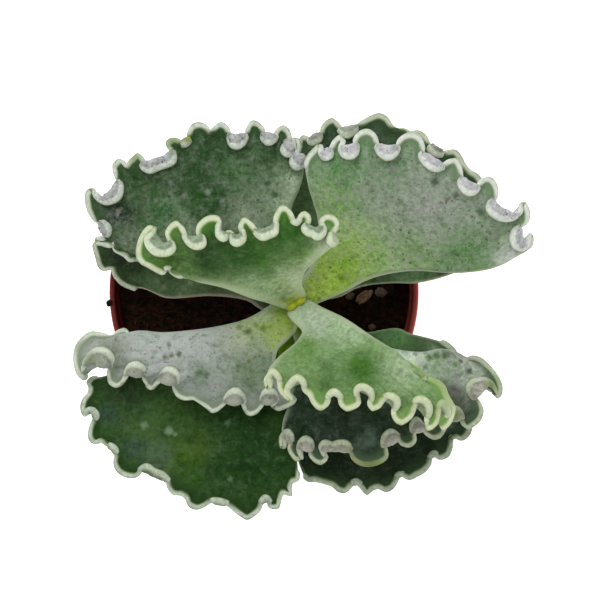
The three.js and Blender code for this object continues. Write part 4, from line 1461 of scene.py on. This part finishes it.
def leaf_object(name, grid, skins):
    place, half, told = grid
    rows, columns = half.shape
    deselect()
    bpy.ops.mesh.primitive_grid_add(x_subdivisions=columns - 1, y_subdivisions=rows - 1, size=1)
    made = bpy.context.active_object
    made.name = name
    made.data.name = name
    made.data.vertices.foreach_set("co", (place * MM).astype(np.float32).ravel())
    for key, values in told.items():
        layer = made.data.attributes.new(key, "FLOAT", "POINT")
        layer.data.foreach_set("value", values.astype(np.float32).ravel())
    thickest = float(half.max())
    group = made.vertex_groups.new(name="thickness")
    for i, weight in enumerate((half / thickest).ravel()):
        group.add([i], float(weight), "REPLACE")
    for skin in skins:
        made.data.materials.append(skin)
    made.data.update()
    pick(made)
    bpy.ops.object.modifier_add(type="SOLIDIFY")
    solid = made.modifiers[-1]
    solid.thickness = 2 * thickest * MM
    solid.offset = 0
    solid.vertex_group = "thickness"
    solid.thickness_vertex_group = 0
    solid.material_offset = 1
    bpy.ops.object.modifier_apply(modifier=solid.name)
    bpy.ops.object.mode_set(mode="EDIT")
    bpy.ops.mesh.select_all(action="SELECT")
    bpy.ops.mesh.remove_doubles(threshold=MERGE_DISTANCE)
    bpy.ops.object.mode_set(mode="OBJECT")
    bpy.ops.object.shade_smooth()
    return made

# %% [markdown]
# ## The leaves' skins
#
# A silver crown's leaf is green under a thin, powdery, grey-white bloom. The bloom is worn off in some places
# and thick in others, so each leaf has a base colour and a few soft areas, laid where the real leaf has them.
# A few pale areas are painted light instead, on parts of a blade that lie in shade. Over that lie the mottled
# bloom, a fine grain, a second film in small clouds, and dark specks of three sizes. Coarse noise decides
# where, and the same noise lifts the surface a little.

# %% Bloom, clouds and specks
WORN_GREEN = "2f4426"
FRESH_GREEN = "35702c"
SPECK_DARK = "2f4222"
SPECK_RUST = "544438"
SPECK_KINDS = ((520, 0.2), (900, 0.24), (1500, 0.28))


def bloomed(skin, colour, paint, place):
    """The bloom, thin where it has rubbed off, and the grain of its powder."""
    shade, amount = paint["bloom"]
    patchy = skin.grain(330, detail=7, rough=0.72, bend=0.4, place=place)
    powder = skin.grain(1250, detail=5, rough=0.7, place=place)
    film = skin.maths("MULTIPLY", skin.band(patchy, 0.44, 0.66), skin.band(powder, 0.36, 0.66, 0.35, 1))
    colour = skin.mix(skin.maths("MULTIPLY", film, amount), colour, ink(shade))
    colour = skin.mix(skin.band(patchy, 0.5, 0.34, 0, 0.3), colour, ink(WORN_GREEN), way="MULTIPLY")
    light = skin.band(powder, 0.3, 0.7, 1 - paint["grain"], 1 + paint["grain"])
    light = skin.add("ShaderNodeCombineColor", {0: light, 1: light, 2: light})
    return skin.mix(1.0, colour, light, way="MULTIPLY"), patchy, powder


def clouded(skin, colour, paint, cloudy):
    """The second film, with fresher green between its clouds."""
    shade, amount = paint["tinge"]
    colour = skin.mix(skin.band(cloudy, 0.53, 0.64, 0, amount), colour, ink(shade))
    fresh = skin.band(cloudy, 0.47, 0.36, 0, 1.1 * amount)
    return skin.mix(fresh, colour, ink(FRESH_GREEN), way="SOFT_LIGHT")


def speck_mask(skin, place):
    """Specks in some cells of a Voronoi pattern, for each kind's scale and size, and only in some parts."""
    specks = 0.0
    for scale, size in SPECK_KINDS:
        cells = skin.add("ShaderNodeTexVoronoi", {"Vector": place, "Scale": scale, "Randomness": 1})
        dice = skin.add("ShaderNodeSeparateColor", {0: cells.node.outputs["Color"]})
        dots = skin.maths("MULTIPLY", skin.band(cells, size, size * 0.55), skin.band(dice, 0.5, 0.62))
        specks = skin.maths("MAXIMUM", dots, specks)
    return skin.maths("MULTIPLY", specks, skin.band(skin.grain(240, detail=3, place=place), 0.36, 0.5))


def mottled(skin, colour, paint, seed):
    """All that lies over every leaf's colour, with the powder's noise and the height for the bump."""
    place = skin.vector("ADD", skin.place, (seed, 2 * seed, 0))
    colour, patchy, powder = bloomed(skin, colour, paint, place)
    cloudy = skin.grain(640, detail=5, rough=0.68, bend=0.4, place=place)
    colour = clouded(skin, colour, paint, cloudy)
    specks = speck_mask(skin, place)
    rusty = skin.mix(skin.band(cloudy, 0.45, 0.55), ink(SPECK_DARK), ink(SPECK_RUST))
    colour = skin.mix(skin.maths("MULTIPLY", specks, 0.85 * paint["specks"]), colour, rusty)
    height = skin.maths("MULTIPLY_ADD", patchy, 1.6, skin.maths("MULTIPLY", powder, 0.35))
    height = skin.maths("MULTIPLY_ADD", specks, -0.3 * paint["specks"], height)
    return colour, powder, height

# %% [markdown]
# An area or mark is laid at a real place on the leaf: the point of the sheet whose plan place is nearest to
# the one given. Its mask is the distance to that place. The distance is measured from a point that noise
# has pushed about, so that the outline is ragged, and height counts for less, because a leaf slopes. A big
# one fades softly, and a small one is nearly solid. Areas are big and lie under the bloom, marks are small
# and lie over it, and stains lie on the bead.

# %% Areas, marks and stains
SMALL_MARK = 1.7
FLATTEN = (1, 1, 0.3)


def nearest_places(points, dabs):
    """The real place, in metres, of the point that is nearest in plan to each dab."""
    places = points.reshape(-1, 3)
    plan = plan_of(places)
    found = []
    for px, py, _, _ in dabs:
        nearest = np.hypot(plan[:, 0] - px, plan[:, 1] - py).argmin()
        found.append(tuple(float(c) * MM for c in places[nearest]))
    return found


def dab_mask(skin, point, centre, reach):
    away = skin.vector("MULTIPLY", skin.vector("SUBTRACT", point, centre), FLATTEN)
    away = skin.add("ShaderNodeVectorMath", {0: away}, out=1, operation="LENGTH")
    if reach < SMALL_MARK:
        return skin.band(away, reach * MM, 0.2 * reach * MM, 0, 0.9)
    return skin.band(away, 1.5 * reach * MM, 0)


def dabbed(skin, colour, point, places, dabs):
    """colour with each dab's own colour laid over it at its place."""
    for place, (_, _, reach, shade) in zip(places, dabs):
        colour = skin.mix(dab_mask(skin, point, place, reach), colour, ink(shade))
    return colour

# %% [markdown]
# Margins are painted by the distance to the bead's outer edge, mostly in bead radii, and the smooth sides by
# the distance to them. A margin's underside shows as a pale web, with painted shade in the crease behind the
# bead, and further in the web is darker, partly as painted shade. Its upper face has a greener line along the
# bead, which also paints the shade behind the outward turns and is weak where the margin is folded inward.

# %% Rims, webs and beads
BEAD_END = {"upper": 2.8, "under": 2.4}
BEAD_FADE = 0.8


def webbed_and_shaded(skin, colour, edge, paint, bead):
    near, far = paint["web"]
    # The far web colour is partly the underside's own grey and partly painted shade where the web turns away,
    # and the crease colour is painted shade in the fold behind the bead.
    colour = skin.mix(0.5, colour, ink(far))
    colour = skin.mix(skin.band(edge, 7, 3.5), colour, ink(far))
    colour = skin.mix(skin.band(edge, 4.2 * bead, 2.3 * bead, 0, 0.55), colour, ink(paint["crease"]))
    return skin.mix(skin.band(edge, 2.5 * bead, 1.9 * bead), colour, ink(near))


def lined_and_shaded(skin, colour, edge, paint, bead):
    beside = skin.band(edge, 6.5 * bead, 2.6 * bead)
    beside = skin.maths("MULTIPLY", beside, skin.band(edge, 1.6 * bead, 2.4 * bead))
    # Painted shade as well as the greener line: it is strongest behind the outward turns, where the flute
    # lies in shade.
    beside = skin.maths("MULTIPLY", beside, skin.band(skin.told("inward"), 0.75, 0.2, 0.3, 0.75))
    return skin.mix(beside, colour, ink(paint["line"]))


def rimmed(skin, colour, powder, paint):
    shade, width = paint["rim"]
    ragged = skin.maths("MULTIPLY_ADD", powder, 0.9, skin.told("side_mm"))
    rim = skin.band(ragged, width + 0.75, 0.35, 0, 0.85)
    if "rim_from" in paint:
        outward = skin.band(skin.told("along"), 0.1, paint["rim_from"], 0.25, 1)
        rim = skin.maths("MULTIPLY", rim, outward)
    return skin.mix(rim, colour, ink(shade))


def bead_colour(skin, uneven, powder, paint, bead, part):
    """White with a greenish band at the bead's outer edge, and on the upper face at its inner one too. The
    band is partly painted shade on the bead's round sides.
    """
    pale = skin.mix(skin.band(powder, 0.3, 0.7), ink(paint["bead"]), ink(paint["white"]))
    white = skin.mix(skin.band(uneven, 0.45 * bead, 1.25 * bead, 0.3, 1), ink(paint["fringe_and_shade"]), pale)
    if part == "upper":
        white = skin.mix(skin.band(uneven, 2.6 * bead, 1.7 * bead), ink(paint["fringe_and_shade"]), white)
    return white

# %% [markdown]
# A skin puts all this together, layer over layer, once for the upper face and once for the underside. Under
# the surface a little light is scattered, as in any fleshy leaf. The powdery leaves shine least.

# %% A leaf's two skins
GLOSS = {"young_leaf": 0.2, "silver_leaf": 0.28, "dark_leaf": 0.1}


def leaf_skin(name, part, leaf, paint, places, seed):
    """The skin of one face, upper or under, with the real places of the areas, marks and stains."""
    bead = leaf["bead"]
    stains = paint.get("stains", [])
    skin = Finish(name + "_" + part)
    edge = skin.told("edge_mm")
    warped = skin.shaken(210, 0.6, 6 * MM)
    nudged = skin.shaken(1400, 0.65, 1.4 * MM)

    colour = dabbed(skin, ink(paint["base"]), warped, places["areas"], paint["areas"])
    if part == "under":
        colour = webbed_and_shaded(skin, colour, edge, paint, bead)
    colour, powder, height = mottled(skin, colour, paint, seed)
    if part == "upper":
        colour = lined_and_shaded(skin, colour, edge, paint, bead)
    colour = dabbed(skin, colour, nudged, places["marks"], paint["marks"])
    colour = rimmed(skin, colour, powder, paint)

    uneven = skin.maths("MULTIPLY_ADD", powder, 0.5 * bead, edge)
    white = bead_colour(skin, uneven, powder, paint, bead, part)
    white = dabbed(skin, white, nudged, places["stains"], stains)
    if part == "under":
        colour = dabbed(skin, colour, nudged, places["stains"], stains)
    on_bead = skin.band(uneven, BEAD_END[part] * bead, (BEAD_END[part] - BEAD_FADE) * bead)
    skin.shade(
        Base_Color=skin.mix(on_bead, colour, white),
        Roughness=skin.band(powder, 0.3, 0.7, 0.55, 0.75),
        Specular_IOR_Level=GLOSS[leaf["slot"]],
        Subsurface_Weight=0.12,
        Subsurface_Radius=(0.5, 1, 0.25),
        Subsurface_Scale=0.6 * MM,
        Normal=skin.bump(height, 0.5, 0.35 * MM),
    )
    return skin.material

# %% [markdown]
# ### Ten leaves
#
# Areas and marks lie on the blade, and stains on the bead, so the places of the first two are looked for in
# the blade's rows alone. A different shift of the noise for each leaf keeps two leaves from having the same
# pattern.

# %% Dress the leaves
PATTERN_SHIFT = 0.1

for seed, (name, leaf) in enumerate(LEAVES.items()):
    paint = PAINT[name]
    grid = leaf_grid(leaf)
    blade = grid[0][:BLADE_ROWS]
    places = {
        "areas": nearest_places(blade, paint["areas"]),
        "marks": nearest_places(blade, paint["marks"]),
        "stains": nearest_places(grid[0], paint.get("stains", [])),
    }
    skins = [leaf_skin(name, part, leaf, paint, places, PATTERN_SHIFT * seed) for part in ("upper", "under")]
    made = leaf_object(name + "_frilled", grid, skins)
    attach(made, "root")
    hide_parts(name)
    print(made.name, len(made.data.vertices), "points")
